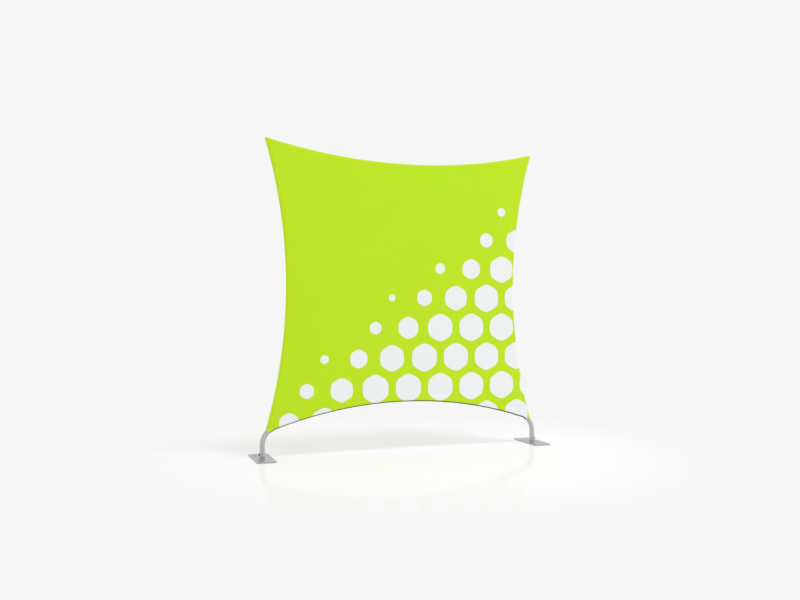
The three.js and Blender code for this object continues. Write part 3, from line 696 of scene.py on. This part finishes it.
arm = (ELBOW_REACH - half_gap) * np.linspace(1, 0, ARM_SECTIONS) ** 1.5
side_arm, side_arm_outs = along([side_curve], side_curve.length - arm)
top_arm, top_arm_outs = along([top_curve], arm[::-1])
corner_mitre = (side_arm_outs[-1] + top_arm_outs[0]) / (1 + side_arm_outs[-1] @ top_arm_outs[0])
side_arm_outs = turned_to_corner(side_arm, side_arm_outs, top_corner, corner_mitre)
top_arm_outs = turned_to_corner(top_arm, top_arm_outs, top_corner, corner_mitre)
elbow_points = np.concatenate([side_arm, top_arm[1:]])
elbow_ins = np.concatenate([side_arm_outs, top_arm_outs[1:]])
elbow_outs = rounded_tip(elbow_points, elbow_ins, TUBE_RADIUS, top_corner, corner_mitre, ELBOW_ROUNDING)
outside = list(sections(elbow_points, elbow_outs, elbow_ins, TUBE_RADIUS))
inside = list(sections(elbow_points, elbow_outs, elbow_ins, TUBE_RADIUS - TUBE_WALL))
lengths = np.repeat(np.linspace(0, 2 * ELBOW_REACH, len(outside)), TUBE_SIDES)
lengths = np.concatenate([lengths, lengths[::-1]])

bend_length = upper_bend.length + lower_bend.length
bend_points, bend_outs = along([upper_bend, lower_bend], np.linspace(0, bend_length, BEND_SECTIONS))
leg_bar = list(sections(bend_points, bend_outs, bend_outs, TUBE_RADIUS - TUBE_WALL / 2))  # into the weld
cut_across = upper_bend.spoke(upper_bend.length)
branch_line = stretch(side_curve, 0.0, BRANCH_JOINT - half_gap, BEND_STEP)
for side, direction in SIDES:
    mirror = (direction, 1, 1)
    rings = [ring * mirror for ring in outside + inside[::-1]]
    mesh = ring_mesh(f"mitred_{side}_elbow", rings, closed=True, sharp=SHARP)
    places = np.concatenate(rings)
    noted(mesh, "on_stock", np.column_stack([places[:, 1], places[:, 2], lengths]))
    dressed(mesh, "frame", "tube", tube_finish, f"top_{side}_elbow")

    bar = in_scene("leg_bar", ring_mesh("leg_bar", [ring * mirror for ring in leg_bar]))
    tube(f"coped_{side}_branch", f"{side}_branch_tube", branch_line, [bar], direction)

# ---------------------------------------------------------------- sleeves and snap buttons
# A drawn sleeve fixed in one end of each joint plugs into the next tube. A bent leaf of spring steel
# inside it carries the button that snaps out through both walls and is pressed in to pull them apart.

spring_finish = metal("blued_spring_steel", (0.36, 0.37, 0.40), 0.25, (500, 500, 500))
for node in list(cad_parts):
    if node.endswith("_spigot"):
        turned_piece(node, "frame", "sleeve", sleeve_finish)
    elif node.endswith("_snap_button"):
        turned_piece(node, node, "spring_steel", spring_finish)

# ---------------------------------------------------------------- clamp knobs
# A small fluted knob of grey moulded plastic stands on the outer side of each leg, near the floor.
# Its threaded stud goes in through the leg and presses on the post, which locks the leg to its foot.

KNOB_RADIUS = 0.009
KNOB_LENGTH = 0.008
KNOB_LOBES = 7
LOBE_STEPS = 12
LOBE_DEPTH = 0.0012
STUD_RADIUS = 0.003
STUD_REACH = 0.0021  # from the head in to the post
KNOB_SHARP = 50  # degrees, as SHARP

dark, light = (0.32, 0.325, 0.325), (0.38, 0.385, 0.385)
knob_finish = grained("moulded_grey_plastic", 2600, dark, light, 0.42, 0.12, 0.00006)
turns = np.linspace(0, 2 * np.pi, LOBE_STEPS * KNOB_LOBES, endpoint=False)
lobes = 1 - (LOBE_DEPTH / 2 / KNOB_RADIUS) * (1 - np.cos(KNOB_LOBES * turns))
knob_profile = [  # (radius, height, share of the fluting) from the stud's tip up over the head
    (STUD_RADIUS - 0.0004, -STUD_REACH, 0),
    (STUD_RADIUS, 0.0004 - STUD_REACH, 0),
    (STUD_RADIUS, 0, 0),
    (KNOB_RADIUS - 0.0012, 0, 1),
    (KNOB_RADIUS - 0.0003, 0.0003, 1),
    (KNOB_RADIUS, 0.0011, 1),
    (KNOB_RADIUS, KNOB_LENGTH - 0.0015, 1),
    (KNOB_RADIUS - 0.0004, KNOB_LENGTH - 0.0005, 1),
    (KNOB_RADIUS - 0.0014, KNOB_LENGTH, 0.9),
    (KNOB_RADIUS - 0.0030, KNOB_LENGTH, 0.3),
    (KNOB_RADIUS - 0.0040, KNOB_LENGTH - 0.0006, 0),
]
for side, direction in SIDES:
    rings = []
    for radius, height, fluting in knob_profile:
        reach = radius * (1 - fluting * (1 - lobes))
        across = np.full(len(turns), direction * (LEG_SPACING / 2 + TUBE_RADIUS + JOINT_GAP + height))
        rings.append(np.column_stack([across, reach * np.cos(turns), KNOB_HEIGHT + reach * np.sin(turns)]))
    mesh = ring_mesh(f"{side}_fluted_knob", rings, sharp=KNOB_SHARP)
    dressed(mesh, f"{side}_knob", "knob", knob_finish, f"{side}_clamp_knob")

# ---------------------------------------------------------------- cover
# Two panels of printed stretch knit are sewn together round the sides and the top, like a pillowcase,
# and drawn over the loop. The panels are turned in and topstitched at the zip and at the leg openings.

COVER_RADIUS = 0.020  # from a tube's centre line to the cloth's outer face
CLOTH = 0.0005
HEM = 0.0004  # by which a hem's second layer raises it
HEM_TURN = 0.0008  # length over which it rises at the turned edge, and falls at the raw one
HEM_FALL = 0.0012
ZIP_HEM_WIDTH = 0.0065
LEG_HEM_WIDTH = 0.0100
STITCHES_IN = 0.7  # share of a hem's width from its turned edge to its stitches
SEAM_DIP = 0.0003
SEAM_WIDTH = 0.0014
ZIP_ANGLE = math.radians(38)  # round the tube from straight down towards the front
ZIP_HALF_WIDTH = 0.0062  # from the zip's middle to each panel's turned edge
FINE_STEP = 0.0015  # mesh spacing at the corners, in the open and round the tubes
OPEN_STEP = 0.014
ROUND_STEP = 0.0035
STEP_GROWTH = 1.2
SEAM_STEPS = [0, 0.0006, SEAM_WIDTH, 0.003]  # closer spacing from the seam and from the zip
HEM_STEPS = [0, 0.0004, 0.0009, 0.003, 0.0059, 0.0065, 0.0071]
FAR_FROM_EDGE = 0.1
TIP_ROUNDING = ELBOW_ROUNDING + COVER_RADIUS - TUBE_RADIUS
OTHER_SIDE = np.array([-1, 1])


def graded(length):
    """Distances from 0 to length, close together at both ends."""
    distances, step = [0.0], FINE_STEP
    while distances[-1] + step < length / 2:
        distances.append(distances[-1] + step)
        step = min(step * STEP_GROWTH, OPEN_STEP)
    half = np.array(distances) * (length / 2) / (distances[-1] + step / 2)
    return np.concatenate([half, length - half[::-1]])


lower_run = [upper_bend.mirrored(), arch, upper_bend]
lower_length = sum(arc.length for arc in lower_run)
lower_distances = graded(lower_length)
lower_points, lower_outs = along(lower_run, lower_distances)
side_distances = graded(side_curve.length)
side_points, side_outs = along([side_curve], side_distances)
top_points, top_outs = along([top_curve], top_curve.length * lower_distances / lower_length)

branch_mitre = cut_across / (cut_across @ side_outs[0])
side_outs = turned_to_corner(side_points, side_outs, branch_point, branch_mitre)
side_outs = turned_to_corner(side_points, side_outs, top_corner, corner_mitre)
top_outs = turned_to_corner(top_points, top_outs, top_corner, corner_mitre)
top_outs = turned_to_corner(top_points, top_outs, top_corner * OTHER_SIDE, corner_mitre * OTHER_SIDE)
upper_points = np.concatenate([side_points, top_points[1:-1], (side_points * OTHER_SIDE)[::-1]])
upper_outs = np.concatenate([side_outs, top_outs[1:-1], (side_outs * OTHER_SIDE)[::-1]])
for mirror in (1, OTHER_SIDE):
    corner, mitre = top_corner * mirror, corner_mitre * mirror
    upper_outs = rounded_tip(upper_points, upper_outs, COVER_RADIUS, corner, mitre, TIP_ROUNDING)


def steps_round(first_steps, total):
    """Distances from a panel's edge round the tube to its flat face."""
    rest = np.linspace(first_steps[-1], total, math.ceil((total - first_steps[-1]) / ROUND_STEP) + 1)
    return np.concatenate([first_steps, rest[1:]])


def hem_height(distance, width):
    """How far a hem stands up, at a distance from its turned edge."""
    rise = np.clip(distance / HEM_TURN, 0, 1)
    fall = np.clip((width + HEM_FALL / 2 - distance) / HEM_FALL, 0, 1)
    return HEM * np.minimum(np.sqrt(rise), fall * fall * (3 - 2 * fall))


def from_leg_cut(points):
    """The distance of points from the nearer leg opening's edge, along the leg."""
    along_leg = np.array([-cut_across[1], cut_across[0]])
    return (np.column_stack([np.abs(points[:, 0]), points[:, 2]]) - branch_point) @ along_leg


def panel_mesh(name, face, lower_edge):
    """One panel's outer face: a flat middle between the tubes and the rims that wrap round them."""
    bottom, top = lower_points, top_points[::-1]
    right, left = side_points, side_points * OTHER_SIDE
    s = (lower_distances / lower_length)[None, :, None]
    t = (side_distances / side_curve.length)[:, None, None]
    corners = (1 - t) * ((1 - s) * bottom[0] + s * bottom[-1]) + t * ((1 - s) * top[0] + s * top[-1])
    flat = (1 - t) * bottom + t * top + (1 - s) * left[:, None] + s * right[:, None] - corners
    index = np.arange(flat.size // 2).reshape(flat.shape[:2])
    faces = quads(index)
    flat = flat.reshape(-1, 2)
    points, cuts, edges = [], [], []

    def add_points(plan, depth, on_cloth, run, away):
        every = np.ones(len(plan))
        points.append(np.column_stack([plan[:, 0], depth * every, plan[:, 1]]))
        cuts.append(on_cloth)
        edges.append(np.column_stack([run * every, away * every, 0 * every]))

    add_points(flat, face * COVER_RADIUS, flat, 0, FAR_FROM_EDGE)
    upper_index = np.concatenate([index[:, -1], index[-1, -2:0:-1], index[::-1, 0]])
    seam_steps = steps_round(SEAM_STEPS, COVER_RADIUS * math.pi / 2)
    hem_steps = steps_round(HEM_STEPS, COVER_RADIUS * (math.pi / 2 - lower_edge))
    for centres, outs, inner_row, start, steps in (
        (upper_points, upper_outs, upper_index, 0.0, seam_steps),
        (lower_points, lower_outs, index[0], lower_edge, hem_steps),
    ):
        run = np.concatenate([[0], np.cumsum(np.linalg.norm(np.diff(centres, axis=0), axis=1))])
        rings = []
        for step in steps[:-1]:
            angle = start + step / COVER_RADIUS
            if inner_row is upper_index:
                radius = COVER_RADIUS - SEAM_DIP * max(0, 1 - step / SEAM_WIDTH)
            else:
                radius = COVER_RADIUS + hem_height(step, ZIP_HEM_WIDTH)
            rings.append(np.arange(len(centres)) + sum(len(block) for block in points))
            plan = centres + outs * radius * math.cos(angle)
            on_cloth = centres + outs * COVER_RADIUS * (math.pi / 2 - angle)
            add_points(plan, face * radius * math.sin(angle), on_cloth, run, step)
        faces += quads(np.array(rings + [inner_row]))
    if face > 0:
        faces = [quad[::-1] for quad in faces]

    mesh = bpy.data.meshes.new(name)
    mesh.from_pydata(np.concatenate(points).tolist(), [], faces)
    layout = mesh.uv_layers.new(name="cut_of_cloth")
    corners = np.empty(len(mesh.loops), np.int32)
    mesh.loops.foreach_get("vertex_index", corners)
    layout.uv.foreach_set("vector", np.concatenate(cuts)[corners].astype(np.float32).ravel())
    noted(mesh, "edge", np.concatenate(edges))
    return mesh


def vectors(data, key):
    """The vector that each item of a mesh holds, as the rows of a table."""
    values = np.empty(3 * len(data))
    data.foreach_get(key, values)
    return values.reshape(-1, 3)


def sewn_panel(name, face, lower_edge):
    """The panel with its leg hems raised and its thickness added on the inside, and its bare outer face."""
    mesh = panel_mesh(name, face, lower_edge)
    points, normals = vectors(mesh.vertices, "co"), vectors(mesh.vertices, "normal")
    away = vectors(mesh.attributes["edge"].data, "vector")[:, 1]
    zip_hem = hem_height(away, ZIP_HEM_WIDTH) * (points[:, 2] < CROWN_HEIGHT)
    zip_hem *= face * points[:, 1] < COVER_RADIUS - SEAM_DIP
    leg_hem = hem_height(from_leg_cut(points), LEG_HEM_WIDTH)
    raised = np.maximum(leg_hem - zip_hem, 0)
    mesh.vertices.foreach_set("co", (points + normals * raised[:, None]).ravel())
    skin = mesh.copy()
    cloth = in_scene(name, mesh)
    double = cloth.vertex_groups.new(name="double")
    layers = (leg_hem + zip_hem) / HEM
    for vertex in np.nonzero(layers)[0]:
        double.add([int(vertex)], min(1.0, layers[vertex]), "REPLACE")
    solid = cloth.modifiers.new("thickness", "SOLIDIFY")
    solid.thickness = CLOTH + HEM
    solid.vertex_group = "double"
    solid.thickness_vertex_group = CLOTH / (CLOTH + HEM)
    solid.offset = -1
    return smoothed(evaluated(cloth, name)), skin


CELL_PITCH = 0.262  # of the print's honeycomb of soft white hexagons, along its level rows
CELL_RADIUS = 0.103  # from a full cell's middle to its flat sides
CELL_CORNER = 7  # the higher, the sharper a cell's corners
CELL_ORIGIN = (0.02, 0.47)
FADE_WAY = (0.62, -0.78)  # the cells grow along this way, from none at the first line to full at the second
FADE_FROM = -1.20
FADE_TO = -0.50
SMALLEST_CELL = 0.022
INK_EDGE = 0.0012
WALE = 0.0011  # width of a column of knit stitches, and height of a stitch
COURSE = 0.0014

printed = Finish("printed_stretch_knit")
u, v = printed.parts(printed.node("ShaderNodeUVMap", {"uv_map": "cut_of_cloth"}))
row = CELL_PITCH * math.sqrt(3)
cells = []
for shift in (0, 0.5):
    first_x, first_z = CELL_ORIGIN[0] + shift * CELL_PITCH, CELL_ORIGIN[1] + shift * row
    from_x, from_z = u - first_x, v - first_z
    near_x = (from_x / CELL_PITCH).math("ROUND") * CELL_PITCH
    near_z = (from_z / row).math("ROUND") * row
    away_x, away_z = from_x - near_x, from_z - near_z
    slants = [away_x * math.cos(turn) + away_z * math.sin(turn) for turn in np.radians([0, 60, 120])]
    away = sum(abs(slant / CELL_RADIUS) ** CELL_CORNER for slant in slants) ** (1 / CELL_CORNER) * CELL_RADIUS
    place = FADE_WAY[0] * (near_x + first_x) + FADE_WAY[1] * (near_z + first_z)
    radius = CELL_RADIUS * place.smooth(FADE_FROM, FADE_TO)
    radius = radius * radius.math("GREATER_THAN", SMALLEST_CELL) - INK_EDGE
    cells.append((radius - away).smooth(-INK_EDGE / 2, INK_EDGE / 2))
wale = abs((u * (math.pi / WALE)).math("SINE"))
course = abs((v * (math.pi / COURSE) + wale * 0.9).math("SINE"))
knit = 0.55 * wale + 0.45 * course
yarn = printed.noise(1400)
edge_run, edge_away = printed.parts(printed.attribute("edge", "Vector"))
pucker_place = printed.node("ShaderNodeCombineXYZ", None, [edge_run * 110, edge_away * 25])
pucker = printed.noise(1, 2, pucker_place) * (1 - edge_away.smooth(0.001, 0.015))
weft = printed.noise((3, 1, 5), 3)
lime = printed.mix(weft, (0.490, 0.770, 0.008), (0.520, 0.800, 0.011))
bare = printed.mix(weft, (0.855, 0.87, 0.895), (0.875, 0.885, 0.905))
ink = printed.mix(cells[0].math("MAXIMUM", cells[1]), lime, bare)
# The base colour is darkened in the knit's grooves between stitches, which is painted shade, and by the yarn
# noise, which is the yarn's own tone.
cloth_finish = printed.surface(
    base_color=printed.mix((1 - knit) * 0.06 + yarn * 0.05, ink, (0.30, 0.36, 0.10)),
    roughness=0.86 + 0.1 * yarn,
    sheen_weight=0.12,
    sheen_roughness=0.4,
    specular_ior_level=0.25,
    bump=0.10 * knit + 0.03 * yarn + pucker,
    relief=0.0009,
)
thread_finish = grained("polyester_thread", 4000, (0.36, 0.60, 0.02), (0.50, 0.78, 0.03), 0.6, 0.2, 0.0001)

STITCH_PITCH = 0.0032
STITCH_LENGTH = 0.0024
THREAD_RADIUS = 0.00022
LEG_REACH = 0.06  # within which a cut across the cloth belongs to the leg's opening


def row_tree(name, make_link, **sizes):
    """Sets a small solid at each step along the base line, with its Z out along the line's `out` vectors."""
    tree = Tree(name, Pitch=STITCH_PITCH, **sizes)
    line = tree.node("GeometryNodeMeshToCurve", None, [tree.given("Geometry")])
    inputs = {"Curve": line, "Length": tree.given("Pitch")}
    steps = tree.node("GeometryNodeResampleCurve", {"mode": "LENGTH"}, inputs)
    out = tree.node("GeometryNodeInputNamedAttribute", {"data_type": "FLOAT_VECTOR"}, {"Name": "out"})
    upright = tree.node("FunctionNodeAlignRotationToVector", {"axis": "Z"}, {"Vector": out})
    inputs = {"Rotation": upright, "Vector": tree.node("GeometryNodeInputTangent")}
    turned = tree.node("FunctionNodeAlignRotationToVector", {"axis": "X", "pivot_axis": "Z"}, inputs)
    inputs = {"Points": steps, "Instance": make_link(tree), "Rotation": turned}
    tree.finish(tree.node("GeometryNodeInstanceOnPoints", None, inputs))
    return tree


def stitch(tree):
    """One stitch: a bead of thread, long in X, pulled down into the cloth."""
    bead = tree.node("GeometryNodeMeshIcoSphere", None, {"Radius": 1.0, "Subdivisions": 2})
    size = [tree.given("Length") * 0.5, tree.given("Thickness"), tree.given("Thickness")]
    scale = tree.node("ShaderNodeCombineXYZ", None, size)
    return tree.node("GeometryNodeTransform", None, {"Geometry": bead, "Scale": scale})


stitch_row = row_tree("stitch_row", stitch, Length=STITCH_LENGTH, Thickness=THREAD_RADIUS)


def stitched(name, slot, line, out):
    row = stitch_row.grow(name + "_hem_stitches", line_mesh(line, out=out), Material=thread_finish)
    return dressed(row, "frame", slot, thread_finish)


def round_tube(points, outs, angle, radius):
    """Points round the lower tube, at an angle from straight down to the front, and their out vectors."""
    plan = outs * math.cos(angle)
    spokes = np.column_stack([plan[:, 0], np.full(len(outs), -math.sin(angle)), plan[:, 1]])
    middle = np.column_stack([points[:, 0], np.zeros(len(points)), points[:, 1]])
    return middle + spokes * radius, spokes


def line_round_leg(skin, side, distance):
    """The line on a panel's outer face at a distance from one leg opening, and its out vectors."""
    axis, spoke = in_space([branch_point * (side, 1), cut_across * (side, 1)])
    along_leg = Vector((-side * cut_across[1], 0, cut_across[0]))
    work = bmesh.new()
    work.from_mesh(skin)
    every = work.verts[:] + work.edges[:] + work.faces[:]
    through = axis + along_leg * distance
    made = bmesh.ops.bisect_plane(work, geom=every, plane_co=through, plane_no=along_leg)["geom_cut"]
    found = [v for v in made if isinstance(v, bmesh.types.BMVert) and (v.co - axis).length < LEG_REACH]
    found.sort(key=lambda v: math.atan2((v.co - axis).dot(spoke), abs(v.co.y)))
    line = [v.co.copy() for v in found], [v.normal.copy() for v in found]
    work.free()
    return line


front_edge = ZIP_ANGLE + ZIP_HALF_WIDTH / COVER_RADIUS
back_edge = -(ZIP_ANGLE - ZIP_HALF_WIDTH / COVER_RADIUS)
loop_tubes = ["drawn_" + name for name in tube_plan]
loop_tubes += [name.replace("right", "left") for name in loop_tubes]
for face_name, face, lower_edge in (("front", -1, front_edge), ("back", 1, back_edge)):
    slot = f"{face_name}_fabric"
    mesh, skin = sewn_panel(f"{face_name}_printed_panel", face, lower_edge)
    cloth = dressed(mesh, "frame", slot, cloth_finish, f"{face_name}_panel")

    hem_angle = -face * (lower_edge + STITCHES_IN * ZIP_HEM_WIDTH / COVER_RADIUS)
    line = round_tube(lower_points[4:-4], lower_outs[4:-4], hem_angle, COVER_RADIUS + HEM)
    hems = [stitched(f"{face_name}_zip", slot, *line)]
    for side, direction in SIDES:
        line = line_round_leg(skin, direction, STITCHES_IN * LEG_HEM_WIDTH)
        hems.append(stitched(f"{face_name}_{side}_leg", slot, *line))

# ---------------------------------------------------------------- zip
# A coil zip closes the cover along the front of the lower tube, so that its underside can be opened.
# Each woven tape is sewn under a panel's turned edge and carries half of the black nylon coil.

TAPE_FACE = 0.0194  # from the tube's centre line to the tape's outer face
TAPE_BACK = 0.01905
TAPE_TUCK = 0.0016  # width of tape under the panel's edge
TAPE_SETBACK = 0.010  # from the cloth's cut end to the end of the tape
ZIP_MIDDLE_GAP = 0.0002  # from the zip's middle to each tape
COIL_PITCH = 0.0016
COIL_RADIUS = 0.00062
COIL_LENGTH = 0.0032
COIL_CENTRE = 0.00150  # from the zip's middle to the middle of a link
COIL_SLANT = 0.12
COIL_LINE_POINTS = 400
STOP_SETBACK = 0.027  # from the end of the lower tube's curve to the end stop
STOP_LENGTH = 0.004
STOP_HEIGHT = 0.0014

dark, light = (0.010, 0.011, 0.010), (0.028, 0.030, 0.026)
tape_finish = grained("woven_zip_tape", (1500, 900, 1500), dark, light, 0.85, 0.1, 0.00012, detail=1)
dark, light = (0.010, 0.010, 0.010), (0.025, 0.025, 0.025)
coil_finish = grained("black_nylon_coil", 300, dark, light, 0.38, 0.2, 0.00004)


def link(tree):
    """One link of the coil: a short round bar that lies across the zip."""
    inputs = {"Vertices": 8, "Radius": tree.given("Radius"), "Depth": tree.given("Length")}
    bar = tree.node("GeometryNodeMeshCylinder", None, inputs)
    inputs = {"Geometry": bar, "Rotation": (math.pi / 2, 0.0, COIL_SLANT)}
    return tree.node("GeometryNodeTransform", None, inputs)


coil_row = row_tree("coil_row", link, Radius=COIL_RADIUS, Length=COIL_LENGTH)
tape_part = (lower_distances > TAPE_SETBACK) & (lower_distances < lower_length - TAPE_SETBACK)
coil_end = upper_bend.length + STOP_SETBACK + STOP_LENGTH / 2 + JOINT_GAP
for face_name, side in (("front", 1), ("back", -1)):
    widths = side * np.linspace(ZIP_MIDDLE_GAP, ZIP_HALF_WIDTH + TAPE_TUCK, 4)
    tape_line = lower_points[tape_part], lower_outs[tape_part]
    rounds = [
        round_tube(*tape_line, ZIP_ANGLE + width / COVER_RADIUS, radius)[0]
        for widths_in_turn, radius in ((widths, TAPE_BACK), (widths[::-1], TAPE_FACE))
        for width in widths_in_turn
    ]
    tape = ring_mesh(f"{face_name}_woven_tape", np.stack(rounds, axis=1))
    dressed(tape, "frame", "zip_tape", tape_finish, f"{face_name}_zip_tape")

    start = coil_end + (COIL_PITCH / 2 if side > 0 else 0)
    coil_line = along(lower_run, np.linspace(start, lower_length - coil_end, COIL_LINE_POINTS))
    coil_angle = ZIP_ANGLE + side * COIL_CENTRE / COVER_RADIUS
    line, out = round_tube(*coil_line, coil_angle, TAPE_FACE + COIL_RADIUS)
    base = line_mesh(line, out=out)
    coil = coil_row.grow(f"{face_name}_zip_coil", base, Pitch=COIL_PITCH, Material=coil_finish)
    dressed(coil, "frame", "zip_tape", coil_finish)

# ---------------------------------------------------------------- zip slider, pull and stops
# A die-cast slider, parked near the right leg, joins the coil; its flat pull swings on a bridge.
# A metal stop is clamped over the coil at each end. All are finished in dark nickel.

SLIDER_SETBACK = 0.040  # from the end of the lower tube's curve
SLIDER_LENGTH = 0.016
SLIDER_ROOF = 0.0219  # from the tube's centre line to the underside of its top plate
SLIDER_PLATE = 0.0012
SLIDER_LIP = 0.0206
FLANGE_INSIDE = 0.0041
BRIDGE_LENGTH = 0.0088
BRIDGE_WIDTH = 0.0018
BRIDGE_BAR = 0.0010
BRIDGE_OPENING = 0.0026
PULL_LENGTH = 0.024
PULL_WIDTH = 0.006
PULL_THICKNESS = 0.0012
PULL_CORNER = 0.0024
PULL_HOLE = (0.0049, 0.0028)
PULL_HOLE_CORNER = 0.0005
PULL_PLAY = 0.0007  # from the bridge's middle, where the pull turns, to the hole's near end and the pull's
CAST_EDGE = 0.00025
STOP_BASE = COVER_RADIUS - 0.0002  # from the tube's centre line to the stop's underside

nickel_finish = metal("dark_nickel", (0.24, 0.245, 0.25), 0.3, (500, 500, 500))


def at_zip(angle):
    """The frame of a piece on the zip: X along it, Y out from the tube's centre line, Z across."""
    spoke = np.array([math.cos(angle), math.sin(angle)])
    tangent = Vector((spoke[1], 0, -spoke[0]))
    out = Vector((-spoke[0], 0, -spoke[1])) * math.cos(ZIP_ANGLE) + Vector((0, -math.sin(ZIP_ANGLE), 0))
    origin = in_space([arch_centre + arch_radius * spoke])[0]
    return Matrix.Translation(origin) @ Matrix((tangent, out, tangent.cross(out))).transposed().to_4x4()


def prism(outline, low, high):
    """A solid over an outline of (x, z) points, between two heights along Y."""
    return ring_mesh("prism", np.array([[(x, height, z) for x, z in outline] for height in (low, high)]))


def block(x_range, y_range, z_range):
    (x0, x1), (z0, z1) = sorted(x_range), sorted(z_range)
    return prism([(x0, z0), (x1, z0), (x1, z1), (x0, z1)], *y_range)


def cast(name, solids, place):
    """Joins solids into one casting with softened edges and sets it in its place."""
    first, *rest = solids
    mesh = joined(first, [in_scene("prism", solid) for solid in rest], "UNION", CAST_EDGE)
    mesh.name = name
    mesh.transform(place)
    return smoothed(mesh, SHARP)


parked = at_zip(arch_end_angle + SLIDER_SETBACK / arch_radius)
half = SLIDER_LENGTH / 2
flange_outside = FLANGE_INSIDE + SLIDER_PLATE
waist = 0.8 * flange_outside
slider_top = SLIDER_ROOF + SLIDER_PLATE
bridge_top = slider_top + BRIDGE_OPENING + BRIDGE_BAR
shield = [(-half, -waist), (half - waist, -flange_outside)]
shield += [(half - 0.3 * waist, -waist), (half, -0.5 * waist)]
shield += [(x, -z) for x, z in shield[::-1]]
flange = (-half / 2, half - waist)
into_roof = slider_top - SLIDER_PLATE / 2
across_bridge = (-BRIDGE_WIDTH / 2, BRIDGE_WIDTH / 2)
post = BRIDGE_LENGTH / 2 - SLIDER_PLATE
slider_parts = [prism(shield, SLIDER_ROOF, slider_top)]
for side in (-1, 1):
    flange_across = (side * FLANGE_INSIDE, side * flange_outside)
    slider_parts.append(block(flange, (SLIDER_LIP, into_roof), flange_across))
    post_along = (side * post, side * BRIDGE_LENGTH / 2)
    slider_parts.append(block(post_along, (into_roof, bridge_top), across_bridge))
bar = (bridge_top - BRIDGE_BAR, bridge_top)
slider_parts.append(block((-BRIDGE_LENGTH / 2, BRIDGE_LENGTH / 2), bar, across_bridge))
slider = cast("cast_zip_slider", slider_parts, parked)
dressed(slider, "zip_slider", "zip_metal", nickel_finish, "zip_slider")

pivot = slider_top + BRIDGE_OPENING / 2
pull_centre = (PULL_PLAY - PULL_LENGTH / 2, 0.0)
hole_centre = (-PULL_PLAY - PULL_HOLE[0] / 2, 0.0)
outline = rounded_outline(PULL_LENGTH / 2, PULL_WIDTH / 2, PULL_CORNER)
hole = rounded_outline(PULL_HOLE[0] / 2, PULL_HOLE[1] / 2, PULL_HOLE_CORNER) + hole_centre
low, high = pivot - PULL_THICKNESS / 2, pivot + PULL_THICKNESS / 2
rings = [(hole, low), (hole, high)]
for inset, height in edge_round(low, high, CAST_EDGE):
    rings.append((outline * (1 - inset / (PULL_WIDTH / 2)) + pull_centre, height))
rings = [np.column_stack([ring[:, 0], np.full(len(ring), height), ring[:, 1]]) for ring, height in rings]
pull = ring_mesh("flat_zip_pull", rings, closed=True, sharp=SHARP)
pull.transform(parked)
dressed(pull, "zip_pull", "zip_metal", nickel_finish, "zip_pull")

half_rows = COIL_CENTRE + COIL_LENGTH / 2
half_length = STOP_LENGTH / 2
for side, turn in SIDES:
    angle = math.pi / 2 - turn * (math.pi / 2 - arch_end_angle - STOP_SETBACK / arch_radius)
    out = (STOP_BASE, STOP_BASE + STOP_HEIGHT)
    clamp = block((-half_length, half_length), out, (-half_rows, half_rows))
    stop = cast(f"{side}_clamped_stop", [clamp], at_zip(angle))
    dressed(stop, "frame", "zip_metal", nickel_finish, f"{side}_zip_stop")

# ---------------------------------------------------------------- floor and light
# A plain pale studio floor with a faint gloss, which fades into an even white surround.
# Soft light comes from all round, with a large soft box high on the viewer's right.

FLOOR_RADIUS = 2.6
FLOOR_FADE = 0.9  # distance from the wall's middle where the floor starts to fade into the surround
SURROUND = (0.922, 0.922, 0.922)

floor_paint = Finish("pale_floor")
from_middle = floor_paint.vector("LENGTH", floor_paint.place(), output="Value")
floor_finish = floor_paint.surface(
    base_color=(0.955, 0.935, 0.975, 1.0),
    roughness=0.08,
    ior=1.09,
    alpha=1 - from_middle.smooth(FLOOR_FADE, FLOOR_RADIUS),
)
corners = [(x * FLOOR_RADIUS, y * FLOOR_RADIUS, 0.0) for x, y in ((-1, -1), (1, -1), (1, 1), (-1, 1))]
floor_mesh = bpy.data.meshes.new("floor")
floor_mesh.from_pydata(corners, [], [(0, 1, 2, 3)])
floor_mesh.materials.append(floor_finish)
in_scene("floor", floor_mesh)

world = bpy.data.worlds.new("studio")
world.use_nodes = True
world.node_tree.nodes["Background"].inputs["Color"].default_value = (*SURROUND, 1.0)
world.node_tree.nodes["Background"].inputs["Strength"].default_value = 1.0
bpy.context.scene.world = world
bpy.context.scene.view_settings.view_transform = "Standard"


def soft_box(name, place, aim, size, watts):
    light = bpy.data.lights.new(name, "AREA")
    light.shape = "DISK"
    light.size = size
    light.energy = watts
    lamp = in_scene(name, light)
    lamp.location = place
    lamp.rotation_euler = (Vector(aim) - Vector(place)).to_track_quat("-Z", "Y").to_euler()


soft_box("key_light", (2.2, -3.0, 8.8), (0.1, -0.6, 0), 2.6, 150)
soft_box("side_light", (5.5, -1.6, 1.0), (0.5, 0, 0.9), 1.6, 20)
